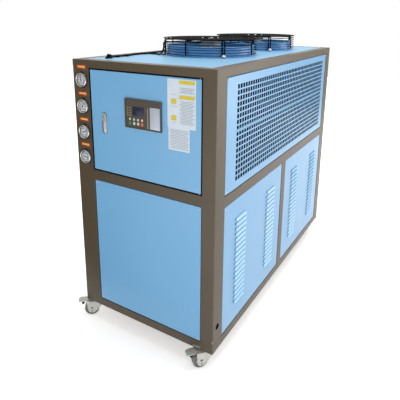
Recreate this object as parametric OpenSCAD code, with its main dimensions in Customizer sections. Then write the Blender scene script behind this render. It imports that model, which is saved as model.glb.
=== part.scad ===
// Air cooled water chiller on swivel casters: a folded sheet frame, lift-out panels,
// a control door, side condensers and two axial fans in the roof.
// Millimetres. +Z is up, the front faces -Y, the origin is on the floor under the cabinet's centre.

/* [Cabinet] */
// Width across the front
cab_w = 700; // [640:5:800]
// Depth from front to back
cab_d = 1465; // [1400:5:1700]
// Height of the cabinet without casters and fans
cab_h = 1158; // [1100:2:1300]
// Sheet thickness of the frame
frame_sheet = 2; // [1.5:0.5:3]
// Outer radius of the frame's folded corners
edge_r = 4; // [3:0.5:8]

/* [Frame members] */
// Height of the top rail's face
top_rail_h = 34; // [30:1:60]
// Height of the base skirt
base_rail_h = 38; // [30:1:60]
// Height of the middle rail's face
mid_rail_h = 45; // [40:1:80]
// Underside of the front and rear middle rails above the cabinet's underside
front_mid_z = 638; // [560:2:700]
// Underside of the side middle rails above the cabinet's underside
side_mid_z = 617; // [540:1:680]
// Face width of the front post that carries the gauges
gauge_post_w = 95; // [88:1:120]
// Face width of the other posts
plain_post_w = 57; // [45:1:80]
// Width of every post on the cabinet's sides
post_side_w = 78; // [60:1:100]
// Face width of the stile between the side panels
stile_w = 50; // [40:1:80]
// Depth of the panel seat behind the outer face
seat_depth = 20; // [16:1:28]
// Width of the seat lip inside each opening
lip_w = 15; // [10:1:20]
// Width of the top frame's upper flange
top_flange_w = 40; // [32:1:60]
// Bottom plate thickness
base_sheet = 3; // [2:0.5:5]
// Diameter of the lifting hole in the front right post
lift_hole_d = 25; // [12:1:30]
// Height of the lifting hole above the cabinet's underside
lift_hole_z = 110; // [70:1:200]

/* [Panels] */
// Sheet thickness of the panels
panel_sheet = 1.5; // [1:0.25:2.5]
// Gap between a fixed panel and its opening
panel_gap = 3; // [1:0.5:5]
// How far a panel's face lies behind the frame's face
panel_recess = 1; // [0.5:0.5:3]

/* [Condenser grille] */
// Hole pitch, both ways
grille_pitch = 23.2; // [20:0.1:26]
// Side of each square hole
grille_hole = 17.5; // [12:0.5:18]
// Columns of holes
grille_cols = 50; // [30:1:50]
// Rows of holes
grille_rows = 17; // [8:1:17]
// From the panel opening's front edge to the first column
grille_first = 98; // [60:1:99]

/* [Louvres] */
// Vertical pitch
louvre_pitch = 23; // [20:0.5:26]
// Length of one louvre
louvre_len = 93; // [80:1:140]
// How far a louvre stands out of the panel
louvre_out = 9; // [5:0.5:12]
// Height of one louvre
louvre_h = 15; // [10:0.5:18]
// Louvres in one column
louvre_count = 18; // [8:1:20]
// Distance of each column from the panel's middle
louvre_column_x = 166; // [80:1:180]
// Height of the lowest louvre's slot above the cabinet's underside
louvre_first_z = 127; // [75:1:160]

/* [Control door] */
// Gap between the door and its opening
door_gap = 5; // [4:0.5:8]
// Depth of the door's folded edges
door_depth = 14; // [11:0.5:14]
// Hinge pin diameter
pin_d = 6; // [4:0.5:8]
// Hinge axis from the door's right edge
pin_inset = 8; // [7:0.5:10]
// Hinge axis behind the frame's face
pin_depth = 6; // [5:0.5:8]
// Radial clearance of every running fit
run_clear = 0.05; // [0.02:0.01:0.1]
// Depth of the control box behind the door
box_d = 230; // [150:5:260]
// Controller bezel width
ctrl_w = 184; // [150:1:200]
// Controller bezel height
ctrl_h = 124; // [100:1:140]
// Controller centre from the door's middle
ctrl_off = 3; // [-30:1:30]
// Controller centre above the cabinet's underside
ctrl_z = 958; // [860:1:1000]
// How far the controller's bezel stands out of the door
ctrl_out = 7; // [3:0.5:12]
// Depth of the controller's case behind the door's face
ctrl_d = 52; // [30:1:70]
// Latch width
latch_w = 24; // [20:1:30]
// Latch height
latch_h = 90; // [80:1:120]
// Latch centre from the door opening's left edge
latch_inset = 73; // [60:1:90]
// Latch centre above the cabinet's underside
latch_z = 900; // [800:1:1000]
// How far the latch stands out of the door
latch_out = 4; // [3:0.5:6]

/* [Gauges] */
// Bezel diameter
gauge_d = 68; // [62:1:76]
// Diameter of the gauge's case behind the post
gauge_case_d = 60; // [50:1:64]
// How far the bezel stands out of the post
gauge_out = 9; // [8:1:20]
// Depth of the case behind the post's face
gauge_case_l = 36; // [20:1:45]
// Gauge centres from the cabinet's left edge
gauge_x = 52; // [40:1:54]
// Height of the lowest gauge's centre above the cabinet's underside
gauge_z = 735; // [700:1:760]
// Vertical pitch of the gauges
gauge_pitch = 112.5; // [100:0.5:115]
// Number of gauges
gauge_count = 4; // [1:1:4]
// Name plate width
plate_w = 54; // [40:1:60]
// Name plate height
plate_h = 19; // [14:1:24]
// Name plate centre above its gauge's centre
plate_rise = 55; // [48:1:60]

/* [Fans] */
// Outer radius of the sheet collar
collar_r = 211; // [210:1:212]
// Height of the collar above the roof
collar_h = 46; // [35:1:52]
// Depth of the collar below the roof
collar_drop = 60; // [50:1:90]
// Collar sheet thickness
collar_sheet = 3; // [2:0.5:4]
// Fan blade tip radius
tip_r = 202; // [150:1:203]
// Number of blades
blade_count = 5; // [3:1:7]
// Blade thickness
blade_t = 2.5; // [2:0.5:4]
// Blade width
blade_w = 128; // [80:1:140]
// Rotor can radius
rotor_r = 68; // [50:1:80]
// Height of the rotor can
rotor_h = 80; // [60:1:100]
// Motor shaft diameter
shaft_d = 12; // [8:1:16]
// Guard radius
guard_r = 225; // [225:1:240]
// Guard height above the roof
guard_h = 80; // [80:1:110]
// Guard ring wire
ring_t = 3; // [2:0.5:4]
// Guard rib wire
rib_t = 6; // [4:0.5:6]
// Number of side rings
side_rings = 6; // [3:1:7]
// Number of top rings
top_rings = 10; // [5:1:10]
// Radius of the smallest top ring
top_ring_min = 60; // [55:1:70]
// Half the spread of the paired rib wires
rib_pair = 6; // [5:0.5:10]
// Centre of the front fan behind the cabinet's front
front_fan_y = 563; // [560:1:620]
// Distance between the fans
fan_pitch = 533; // [510:1:560]

/* [Condensers] */
// Coil thickness
coil_t = 32; // [20:1:34]
// Gap between the coil's end and the cabinet's front or back
coil_end = 92; // [85:1:140]
// Deck sheet thickness
deck_t = 2; // [1.5:0.5:4]
// Deck underside above the side middle rail's underside
deck_rise = 24; // [6:1:40]

/* [Casters] */
// Overall caster height
caster_h = 90; // [88:1:92]
// Wheel radius
wheel_r = 35; // [30:0.5:35]
// Wheel tread width
wheel_w = 26; // [20:1:32]
// Horizontal distance from the swivel to the axle
trail = 38; // [32:1:40]
// Swivel centre from the cabinet's edges
caster_inset = 42; // [38:1:70]
// Caster plate side
caster_plate = 64; // [50:1:76]
// Caster plate thickness
caster_sheet = 3; // [2:0.5:4]
// Side clearance between the wheel and the fork
wheel_gap = 5; // [4:0.5:8]
// Fork sheet thickness
fork_t = 2.5; // [2:0.5:3]
// Axle diameter
axle_d = 8; // [6:0.5:10]
// King pin diameter
king_d = 10; // [8:0.5:14]
// Brake pedal tip from the swivel
pedal_l = 100; // [90:1:110]
// Brake pedal pivot from the swivel
pedal_u = 52; // [50:0.5:54]
// Brake pedal pivot above the floor
pedal_z = 68; // [66:0.5:70]
// Brake pedal pivot diameter
pedal_pin_d = 5; // [4:0.5:6]
// Directions in which the wheels trail: front left, front right, rear left, rear right
caster_turn = [220, 233, 225, 225];

/* [Water ports] */
// Outside diameter of the flow and return stubs
port_d = 48.3; // [42.4:0.1:60.3]
// Inside diameter of the flow and return stubs
port_bore = 41; // [30:0.5:42]
// Free length of the flow and return stubs outside their nuts
port_l = 45; // [30:1:60]
// Outside diameter of the drain stub
drain_d = 21.3; // [17.2:0.1:26.9]
// Inside diameter of the drain stub
drain_bore = 16; // [10:0.5:17]
// Free length of the drain stub outside its nut
drain_l = 35; // [20:1:50]
// Nut thickness
nut_t = 9; // [6:0.5:14]
// Clearance of a stub in its panel hole
port_clear = 0.3; // [0.1:0.1:1]

/* [Fan leads] */
// Lead diameter
lead_d = 6.5; // [5:0.5:7]
// Room round each lead in the gland
lead_gap = 2.5; // [2:0.5:3]
// Gland diameter
gland_d = 34; // [30:1:40]
// Gland height
gland_h = 8; // [5:1:12]

/* [Hidden] */
$fn = 64;
eps = 0.01;
seat_gap = 0.3;
panel_depth = seat_depth - panel_recess;
seat_back = seat_depth + frame_sheet;
front_x0 = -cab_w / 2 + gauge_post_w;
front_x1 = cab_w / 2 - plain_post_w;
rear_x = cab_w / 2 - plain_post_w;
side_x = cab_d / 2 - post_side_w;
upper_z1 = cab_h - top_rail_h;
front_upper_z0 = front_mid_z + mid_rail_h;
side_upper_z0 = side_mid_z + mid_rail_h;
roof_z = caster_h + cab_h;
fan_y = [for (i = [0, 1]) -cab_d / 2 + front_fan_y + i * fan_pitch];
flange_w = 7;
flange_t = 2.5;
roof_seat = 14;
roof_clear = 1;
door_x1 = front_x1 - door_gap;
door_z0 = front_upper_z0 + door_gap;
door_z1 = upper_z1 - door_gap;
hinge_x = door_x1 - pin_inset;
ctrl_x = (front_x0 + front_x1) / 2 + ctrl_off;
ctrl_wall = 10;
latch_x = front_x0 + latch_inset;
latch_wall = 3;
paddle_t = latch_out - 1;
paddle_w = latch_w - 8;
paddle_z0 = latch_z - latch_h / 2 + 4;
paddle_l = latch_h - 40.5;
paddle_y = panel_recess - latch_out - seat_gap + paddle_t / 2;
deck_z = side_mid_z + deck_rise;
rib_z = guard_h - ring_t - rib_t + 1;
motor_r = 50;
motor_drop = 34;
motor_gap = 6;
rotor_top = rib_z - motor_drop - motor_gap;
fork_top = caster_h - caster_sheet - 9;
fork_bottom = fork_top - fork_t;
fork_v = wheel_w / 2 + wheel_gap;
pedal_ear_gap = 0.5;
pedal_rise = 4;
pedal_t = 2;
foot_l = 19;
foot_hole = 7;
stub_in = 30;
caster_sides = [[-1, -1], [1, -1], [-1, 1], [1, 1]];
port_x = 120;
port_z = [520, 330];
drain_z = 110;
lead_z = lead_d / 2 + seat_gap;
lead_free = 6;
lead_enter = 4;
lead_top = 8 + (side_rings - 1.5) * (guard_h - 2 * ring_t - rib_t) / side_rings + ring_t / 2;
lead_room = lead_d + 2 * lead_gap;
lead_side = 17;
lead_off = lead_d / 2 + ring_t;

// Each face of the cabinet as seen from outside: x to the right, y inward, z up from the underside.
module on_front() { translate([0, -cab_d / 2, caster_h]) children(); }
module on_right() { translate([cab_w / 2, 0, caster_h]) rotate([0, 0, 90]) children(); }
module on_left() { mirror([1, 0, 0]) on_right() children(); }
module on_rear() { translate([0, cab_d / 2, caster_h]) rotate([0, 0, 180]) children(); }
module on_roof(y) { translate([0, y, roof_z]) children(); }

module rounded_plan(w, d, r) {
    square([w - 2 * r, d], center = true);
    square([w, d - 2 * r], center = true);
    for (x = [-1, 1], y = [-1, 1]) translate([x * (w / 2 - r), y * (d / 2 - r)]) circle(r);
}

// A ring of rectangular plan, wall t inside w by d
module plan_ring(w, d, t, z0, z1) {
    translate([0, 0, z0]) linear_extrude(z1 - z0) difference() {
        square([w, d], center = true);
        square([w - 2 * t, d - 2 * t], center = true);
    }
}

// A lip behind an opening that panels seat on
module seat_lip(x0, x1, z0, z1) {
    translate([x0, seat_depth, z0]) cube([x1 - x0, frame_sheet, z1 - z0]);
}

module seat_lips(z0, z1) {
    on_front() seat_lip(front_x0 + lip_w, front_x1 - lip_w, z0, z1);
    on_rear() seat_lip(-rear_x + lip_w, rear_x - lip_w, z0, z1);
    on_right() seat_lip(-side_x + lip_w, side_x - lip_w, z0, z1);
    on_left() seat_lip(-side_x + lip_w, side_x - lip_w, z0, z1);
}

// A panel with folded edges, its face towards -y
module tray(w, h, depth, t) {
    difference() {
        cube([w, depth, h]);
        translate([t, t, t]) cube([w - 2 * t, depth, h - 2 * t]);
    }
}

module opening_panel(x0, x1, z0, z1) {
    translate([x0 + panel_gap, panel_recess, z0 + panel_gap])
        tray(x1 - x0 - 2 * panel_gap, z1 - z0 - 2 * panel_gap, panel_depth, panel_sheet);
}

module base_frame() {
    color("#5f564a") {
        difference() {
            translate([0, 0, caster_h]) linear_extrude(base_rail_h) rounded_plan(cab_w, cab_d, edge_r);
            translate([0, 0, caster_h + base_sheet]) linear_extrude(base_rail_h)
                rounded_plan(cab_w - 2 * frame_sheet, cab_d - 2 * frame_sheet, edge_r - frame_sheet);
        }
        seat_lips(base_sheet - eps, base_rail_h + lip_w);
    }
}

module top_frame() {
    inner_w = cab_w - 2 * top_flange_w;
    inner_d = cab_d - 2 * top_flange_w;
    seat_z = roof_z - roof_seat - frame_sheet;
    color("#5f564a") {
        difference() {
            translate([0, 0, roof_z - top_rail_h]) linear_extrude(top_rail_h)
                rounded_plan(cab_w, cab_d, edge_r);
            translate([0, 0, roof_z - top_rail_h - frame_sheet]) linear_extrude(top_rail_h)
                rounded_plan(cab_w - 2 * frame_sheet, cab_d - 2 * frame_sheet, edge_r - frame_sheet);
            translate([-inner_w / 2, -inner_d / 2, roof_z - top_rail_h]) cube([inner_w, inner_d, top_rail_h + 1]);
        }
        seat_lips(cab_h - top_rail_h - lip_w, cab_h - frame_sheet + eps);
        plan_ring(inner_w + 2 * frame_sheet, inner_d + 2 * frame_sheet, frame_sheet,
            seat_z, roof_z - frame_sheet + eps);
        plan_ring(inner_w + 2 * frame_sheet, inner_d + 2 * frame_sheet, lip_w + frame_sheet,
            seat_z, seat_z + frame_sheet);
    }
}

// Folded corner post: its outer corner at the origin, face along x, side along y
module post(face_w) {
    t = frame_sheet;
    translate([0, 0, base_rail_h]) linear_extrude(cab_h - base_rail_h - top_rail_h) difference() {
        union() {
            square([face_w, t]);
            square([t, post_side_w]);
            translate([face_w - t, 0]) square([t, seat_back]);
            translate([face_w - t, seat_depth]) square([lip_w + t, t]);
            translate([0, post_side_w - t]) square([seat_back, t]);
            translate([seat_depth, post_side_w - t]) square([t, lip_w + t]);
        }
        difference() {
            translate([-1, -1]) square(edge_r + 1);
            translate([edge_r, edge_r]) circle(edge_r);
        }
    }
}

module corner(sx, sy) {
    translate([sx * cab_w / 2, sy * cab_d / 2, caster_h])
        mirror([sx > 0 ? 1 : 0, 0, 0]) mirror([0, sy > 0 ? 1 : 0, 0]) children();
}

module post_front_left() {
    color("#4d4841") difference() {
        corner(-1, -1) post(gauge_post_w);
        for (i = [0 : gauge_count - 1])
            translate([-cab_w / 2 + gauge_x, -cab_d / 2 - 1, caster_h + gauge_z + i * gauge_pitch])
                rotate([-90, 0, 0]) cylinder(d = gauge_case_d + 2, h = frame_sheet + 2);
    }
}

module post_front_right() {
    color("#6b5f50") difference() {
        corner(1, -1) post(plain_post_w);
        translate([cab_w / 2 + 1, -cab_d / 2 + post_side_w / 2, caster_h + lift_hole_z])
            rotate([0, -90, 0]) cylinder(d = lift_hole_d, h = frame_sheet + 2);
    }
}

module post_rear_left() { color("#6b5f50") corner(-1, 1) post(plain_post_w); }
module post_rear_right() { color("#6b5f50") corner(1, 1) post(plain_post_w); }

// Closed rail between two posts with a seat lip above and below
module rail(x0, x1, z0) {
    t = frame_sheet;
    translate([x0, 0, z0]) cube([x1 - x0, t, mid_rail_h]);
    for (z = [z0, z0 + mid_rail_h - t]) translate([x0, 0, z]) cube([x1 - x0, seat_depth + eps, t]);
    seat_lip(x0 + lip_w, x1 - lip_w, z0 - lip_w, z0 + mid_rail_h + lip_w);
}

module mid_rails() {
    color("#5f564a") {
        on_front() rail(front_x0, front_x1, front_mid_z);
        on_rear() rail(-rear_x, rear_x, front_mid_z);
        on_right() rail(-side_x, side_x, side_mid_z);
        on_left() rail(-side_x, side_x, side_mid_z);
    }
}

module stile() {
    t = frame_sheet;
    z0 = base_rail_h;
    h = side_mid_z - base_rail_h;
    translate([-stile_w / 2, 0, z0]) cube([stile_w, t, h]);
    for (x = [-stile_w / 2, stile_w / 2 - t]) translate([x, 0, z0]) cube([t, seat_depth + eps, h]);
    seat_lip(-stile_w / 2 - lip_w, stile_w / 2 + lip_w, z0 + lip_w, z0 + h - lip_w);
}

module side_stiles() {
    color("#8b8070") {
        on_right() stile();
        on_left() stile();
    }
}

module lower_front_panel() {
    color("#78aed8") on_front() opening_panel(front_x0, front_x1, base_rail_h, front_mid_z);
}

module rear_upper_panel() {
    color("#78aed8") on_rear() opening_panel(-rear_x, rear_x, front_upper_z0, upper_z1);
}

module rear_lower_panel() {
    hole_d = 2 * port_clear;
    color("#78aed8") on_rear() difference() {
        opening_panel(-rear_x, rear_x, base_rail_h, front_mid_z);
        for (z = port_z) translate([port_x, 0, z]) rotate([-90, 0, 0]) cylinder(d = port_d + hole_d, h = seat_depth / 2);
        translate([port_x, 0, drain_z]) rotate([-90, 0, 0]) cylinder(d = drain_d + hole_d, h = seat_depth / 2);
    }
}

// Upright bars in the outer half of the sheet and cross bars in the inner half leave square holes
module grille_panel() {
    w = 2 * side_x - 2 * panel_gap;
    h = upper_z1 - side_upper_z0 - 2 * panel_gap;
    field_w = (grille_cols - 1) * grille_pitch + grille_hole;
    field_h = (grille_rows - 1) * grille_pitch + grille_hole;
    x0 = grille_first - panel_gap - grille_hole / 2;
    z0 = (h - field_h) / 2;
    half = panel_sheet / 2;
    translate([-side_x + panel_gap, panel_recess, side_upper_z0 + panel_gap]) difference() {
        tray(w, h, panel_depth, panel_sheet);
        for (i = [0 : grille_cols - 1])
            translate([x0 + i * grille_pitch, -1, z0]) cube([grille_hole, half + 1, field_h]);
        for (k = [0 : grille_rows - 1])
            translate([x0, half, z0 + k * grille_pitch]) cube([field_w, half + 1, grille_hole]);
    }
}

module right_grille() { color("#a9cdf2") on_right() grille_panel(); }
module left_grille() { color("#a9cdf2") on_left() grille_panel(); }

// One pressed louvre: a sloping hood, closed at its ends, over a slot
module louvre_hood() {
    rotate([90, 0, 90]) linear_extrude(louvre_len)
        polygon([[0.5, 0], [-louvre_out, 0], [-louvre_out + 1, 2], [0.5, louvre_h]]);
}

module louvre_hollow() {
    t = panel_sheet;
    slope = louvre_out / louvre_h;
    translate([t, 0, 0]) rotate([90, 0, 90]) linear_extrude(louvre_len - 2 * t)
        polygon([[t + 1, -1], [-louvre_out + 2 * t, -1], [t + 1, louvre_h - 2 * t + slope]]);
}

module louvre_panel(x0, x1) {
    mid = (x0 + x1) / 2;
    difference() {
        union() {
            opening_panel(x0, x1, base_rail_h, side_mid_z);
            for (s = [-1, 1], i = [0 : louvre_count - 1])
                translate([mid + s * louvre_column_x - louvre_len / 2, panel_recess, louvre_first_z + i * louvre_pitch])
                    louvre_hood();
        }
        for (s = [-1, 1], i = [0 : louvre_count - 1])
            translate([mid + s * louvre_column_x - louvre_len / 2, panel_recess, louvre_first_z + i * louvre_pitch])
                louvre_hollow();
    }
}

module side_louvres() {
    louvre_panel(-side_x, -stile_w / 2);
    louvre_panel(stile_w / 2, side_x);
}

module right_louvre_panels() { color("#a9cdf2") on_right() side_louvres(); }
module left_louvre_panels() { color("#a9cdf2") on_left() side_louvres(); }

module top_panel() {
    w = cab_w - 2 * top_flange_w - 2 * panel_gap;
    d = cab_d - 2 * top_flange_w - 2 * panel_gap;
    color("#b4d2f0") difference() {
        translate([-w / 2, -d / 2, roof_z - roof_seat]) cube([w, d, roof_seat]);
        translate([-w / 2 + panel_sheet, -d / 2 + panel_sheet, roof_z - roof_seat - panel_sheet])
            cube([w - 2 * panel_sheet, d - 2 * panel_sheet, roof_seat]);
        for (y = fan_y) translate([0, y, roof_z - roof_seat]) cylinder(r = collar_r + roof_clear, h = roof_seat + 1);
        translate([gland_at()[0], gland_at()[1], roof_z - roof_seat]) cylinder(d = gland_d - 6, h = roof_seat + 1);
    }
}

// Sheet box behind the door, open to the front, held against the seat lips
module control_box() {
    color("#c9c4b8") on_front() translate([front_x0, seat_back, front_upper_z0])
        tray_back(front_x1 - front_x0, upper_z1 - front_upper_z0, box_d, panel_sheet);
}

module tray_back(w, h, depth, t) {
    difference() {
        cube([w, depth, h]);
        translate([t, -t, t]) cube([w - 2 * t, depth, h - 2 * t]);
    }
}

module mid_deck() {
    x = cab_w / 2 - seat_back;
    y = cab_d / 2 - seat_back;
    color("#9a9a9a") translate([-x, -y, caster_h + deck_z]) cube([2 * x, 2 * y, deck_t]);
}

module condenser_coils() {
    z0 = deck_z + deck_t;
    color("#7c8288") for (s = [0, 1]) mirror([s, 0, 0]) on_right()
        translate([-cab_d / 2 + coil_end, seat_back + 1, z0])
            cube([cab_d - 2 * coil_end, coil_t, cab_h - top_rail_h - z0]);
}

module fan_collar() {
    rotate_extrude() union() {
        translate([collar_r - collar_sheet, -collar_drop]) square([collar_sheet, collar_drop + collar_h - collar_sheet]);
        translate([collar_r - collar_sheet, 0]) square([collar_sheet + flange_w, flange_t]);
        translate([collar_r - collar_sheet / 2, collar_h - collar_sheet]) circle(collar_sheet, $fn = 24);
    }
}

module front_fan_collar() { color("#3f76a8") on_roof(fan_y[0]) fan_collar(); }
module rear_fan_collar() { color("#3f76a8") on_roof(fan_y[1]) fan_collar(); }

// A ring of square wire
module wire_ring(r, z) {
    translate([0, 0, z]) rotate_extrude() translate([r - ring_t / 2, 0]) square(ring_t);
}

// A rib: down the side to its foot and along the top to the hub plate
module guard_rib(x, z0) {
    translate([-x - rib_t / 2, -guard_r - ring_t / 2 + 0.5, z0]) cube([rib_t, rib_t, rib_z - z0 + rib_t]);
    translate([-x - rib_t / 2, -guard_r, rib_z]) cube([rib_t, guard_r - motor_r + rib_t, rib_t]);
}

module fan_guard() {
    side_step = (guard_h - 2 * ring_t - rib_t) / side_rings;
    top_step = (guard_r - top_ring_min) / (top_rings - 1);
    for (i = [0 : side_rings - 1]) wire_ring(guard_r, 8 + i * side_step);
    for (i = [0 : top_rings - 1]) wire_ring(top_ring_min + i * top_step, guard_h - ring_t);
    translate([0, 0, rib_z]) cylinder(r = motor_r + rib_t, h = ring_t);
    for (a = [0 : 90 : 270]) {
        rotate(a) guard_rib(0, 8);
        rotate(a + 45) {
            for (s = [-1, 1]) guard_rib(s * rib_pair, 0);
            translate([0, -guard_r - 8, 0]) difference() {
                translate([-rib_pair - rib_t / 2, -8, 0]) cube([2 * rib_pair + rib_t, foot_l, ring_t]);
                translate([0, 0, -1]) cylinder(d = foot_hole, h = ring_t + 2);
            }
        }
    }
}

module front_fan_guard() { color("#1b1b1d") on_roof(fan_y[0]) fan_guard(); }
module rear_fan_guard() { color("#1b1b1d") on_roof(fan_y[1]) fan_guard(); }

// Stator under the guard's hub plate, with the shaft that carries the rotor
module fan_motor() {
    shaft_l = motor_gap + rotor_h + 4;
    translate([0, 0, rib_z - motor_drop]) cylinder(r = motor_r, h = motor_drop);
    translate([0, 0, rib_z - motor_drop - shaft_l]) cylinder(d = shaft_d, h = shaft_l + 1);
    translate([0, 0, rib_z - motor_drop - shaft_l]) cylinder(d = shaft_d + 8, h = 4 - seat_gap);
}

module front_fan_motor() { color("#3a3c40") on_roof(fan_y[0]) fan_motor(); }
module rear_fan_motor() { color("#3a3c40") on_roof(fan_y[1]) fan_motor(); }

// A pitched sheet blade with a rounded tip
module blade() {
    pitch = 26;
    root = rotor_r * 0.8;
    translate([0, 0, -rotor_h / 2]) rotate([pitch, 0, 0]) linear_extrude(blade_t, center = true) intersection() {
        translate([root, -blade_w / 2]) square([tip_r - root, blade_w]);
        circle(tip_r);
        translate([tip_r * 0.45, blade_w * 0.12]) circle(tip_r * 0.56);
    }
}

module fan_rotor() {
    translate([0, 0, rotor_top]) difference() {
        union() {
            translate([0, 0, -rotor_h]) cylinder(r = rotor_r, h = rotor_h);
            for (i = [0 : blade_count - 1]) rotate(i * 360 / blade_count) blade();
        }
        translate([0, 0, -rotor_h - 1]) cylinder(d = shaft_d + 2 * run_clear, h = rotor_h + 2);
    }
}

module front_fan_rotor() { color("#2a2b2e") on_roof(fan_y[0]) fan_rotor(); }
module rear_fan_rotor() { color("#2a2b2e") on_roof(fan_y[1]) fan_rotor(); }

module gauge() {
    rotate([90, 0, 0]) {
        rotate_extrude() polygon([[0, 0], [gauge_d / 2, 0], [gauge_d / 2, gauge_out - 3], [gauge_d / 2 - 3, gauge_out],
            [gauge_d / 2 - 6, gauge_out], [gauge_d / 2 - 7, gauge_out - 3], [0, gauge_out - 3]]);
        translate([0, 0, -gauge_case_l]) cylinder(d = gauge_case_d, h = gauge_case_l + 1);
        translate([0, 0, -gauge_case_l - 20]) cylinder(d = 14, h = 21);
    }
}

module pressure_gauges() {
    color("#c9ccd0") on_front() for (i = [0 : gauge_count - 1])
        translate([-cab_w / 2 + gauge_x, 0, gauge_z + i * gauge_pitch]) gauge();
}

module gauge_plates() {
    color("#c8502c") on_front() for (i = [0 : gauge_count - 1])
        translate([-cab_w / 2 + gauge_x - plate_w / 2, -1, gauge_z + i * gauge_pitch + plate_rise - plate_h / 2])
            cube([plate_w, 1, plate_h]);
}

// The leads' routes, in order from the gland in the roof to the fan motors
function from_corner(x, y, z) = [-cab_w / 2 + x, -cab_d / 2 + y, z];
function leg_point(y, r, z) = [(lead_side - r) * sin(45), y - (lead_side + r) * cos(45), z];
function leg_climb(y) = [leg_point(y, guard_r + 24, lead_z), leg_point(y, guard_r + lead_off + 2, 30),
    leg_point(y, guard_r + lead_off, lead_top - 6), leg_point(y, guard_r, lead_top),
    leg_point(y, guard_r - 25, lead_top), leg_point(y, guard_r - 80, lead_top),
    leg_point(y, motor_r, lead_top)];
function lead_points() = concat([from_corner(116, 104, -lead_enter), from_corner(116, 104, 16),
    from_corner(102, 140, 6), from_corner(99, 180, lead_z), from_corner(108, 228, lead_z),
    from_corner(90, 330, lead_z), from_corner(122, 384, lead_z)], leg_climb(fan_y[0]));
function rear_lead_points() = concat([from_corner(106, 104, -lead_enter), from_corner(106, 104, 14),
    from_corner(92, 140, 6), from_corner(88, 180, lead_z), from_corner(97, 228, lead_z),
    from_corner(79, 330, lead_z), from_corner(90, 420, lead_z), from_corner(92, 580, lead_z),
    from_corner(90, 760, lead_z), from_corner(122, 908, lead_z)], leg_climb(fan_y[1]));

function gland_at() = (lead_points()[0] + rear_lead_points()[0]) / 2;

// A point on the smooth curve through p, t counted in points
function curve_point(p, t) = let (n = len(p) - 1, i = min(floor(t), n - 1), u = t - i,
    a = p[max(i - 1, 0)], b = p[i], c = p[i + 1], d = p[min(i + 2, n)])
    0.5 * (2 * b + (c - a) * u + (2 * a - 5 * b + 4 * c - d) * u * u + (3 * b - a - 3 * c + d) * u * u * u);

// A six-sided tube along that curve
module lead(points) {
    sides = 6;
    steps = 4 * (len(points) - 1);
    aside = [1, -0.6, 0.25];
    way = [for (k = [0 : steps]) let (c = curve_point(points, k / 4))
        k < lead_free ? c : [c[0], c[1], max(c[2], lead_z)]];
    rings = [for (k = [0 : steps]) let (d = way[min(k + 1, steps)] - way[max(k - 1, 0)],
        e = cross(d, aside) / norm(cross(d, aside)), f = cross(e, d) / norm(d))
        for (j = [0 : sides - 1]) way[k] + lead_d / 2 * (cos(j * 360 / sides) * e + sin(j * 360 / sides) * f)];
    walls = [for (k = [0 : steps - 1], j = [0 : sides - 1]) [k * sides + j, k * sides + (j + 1) % sides,
        (k + 1) * sides + (j + 1) % sides, (k + 1) * sides + j]];
    ends = [[for (j = [sides - 1 : -1 : 0]) j], [for (j = [0 : sides - 1]) steps * sides + j]];
    polyhedron(rings, concat(walls, ends));
}

module fan_leads() {
    color("#161616") translate([0, 0, roof_z]) {
        lead(lead_points());
        lead(rear_lead_points());
    }
}

module lead_gland() {
    c = gland_at();
    color("#161616") translate([c[0], c[1], roof_z]) difference() {
        cylinder(d = gland_d, h = gland_h);
        for (p = [lead_points()[0], rear_lead_points()[0]])
            translate([p[0] - c[0], p[1] - c[1], -1]) cylinder(d = lead_room, h = gland_h + 2);
    }
}

// Pipe stub through the rear panel with a hexagon nut against its face
module stub(d, bore, free) {
    rotate([90, 0, 0]) difference() {
        union() {
            translate([0, 0, -stub_in]) cylinder(d = d, h = stub_in + nut_t + free);
            cylinder(d = d * 1.32, h = nut_t, $fn = 6);
        }
        translate([0, 0, -stub_in - 1]) cylinder(d = bore, h = stub_in + 2 + nut_t + free);
    }
}

module on_port(z) { on_rear() translate([port_x, panel_recess, z]) children(); }
module water_outlet() { color("#b08d4a") on_port(port_z[0]) stub(port_d, port_bore, port_l); }
module water_inlet() { color("#b08d4a") on_port(port_z[1]) stub(port_d, port_bore, port_l); }
module tank_drain() { color("#b08d4a") on_port(drain_z) stub(drain_d, drain_bore, drain_l); }

// Pivot pins of the door, held by the rails above and below it
module hinge_pins() {
    reach = door_gap + panel_sheet + 8;
    color("#b8babd") on_front() {
        translate([hinge_x, pin_depth, upper_z1 - reach]) cylinder(d = pin_d, h = reach);
        translate([hinge_x, pin_depth, front_upper_z0]) cylinder(d = pin_d, h = reach);
    }
}

module control_door() {
    color("#78aed8") on_front() difference() {
        translate([front_x0 + door_gap, panel_recess, door_z0])
            tray(front_x1 - front_x0 - 2 * door_gap, door_z1 - door_z0, door_depth, panel_sheet);
        for (z = [door_z0, door_z1]) translate([hinge_x, pin_depth, z - 5]) cylinder(d = pin_d + 2 * run_clear, h = 10);
        translate([ctrl_x - ctrl_w / 2 + 8, 0, ctrl_z - ctrl_h / 2 + 8]) cube([ctrl_w - 16, door_depth / 2, ctrl_h - 16]);
        translate([latch_x - latch_w / 2 + 3, 0, latch_z - latch_h / 2 + 3]) cube([latch_w - 6, door_depth / 2, latch_h - 6]);
    }
}

module controller() {
    wall = ctrl_wall;
    color("#3a2a22") on_front() translate([ctrl_x, panel_recess, ctrl_z]) {
        translate([-ctrl_w / 2, -ctrl_out, -ctrl_h / 2]) cube([ctrl_w, ctrl_out, ctrl_h]);
        translate([-ctrl_w / 2 + wall, -1, -ctrl_h / 2 + wall]) cube([ctrl_w - 2 * wall, ctrl_d + 1, ctrl_h - 2 * wall]);
    }
}

// The paddle's pivot, across the latch at the paddle's upper end
module latch_pivot(d, l) {
    translate([latch_x - l / 2, paddle_y, paddle_z0 + paddle_l]) rotate([0, 90, 0]) cylinder(d = d, h = l);
}

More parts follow.
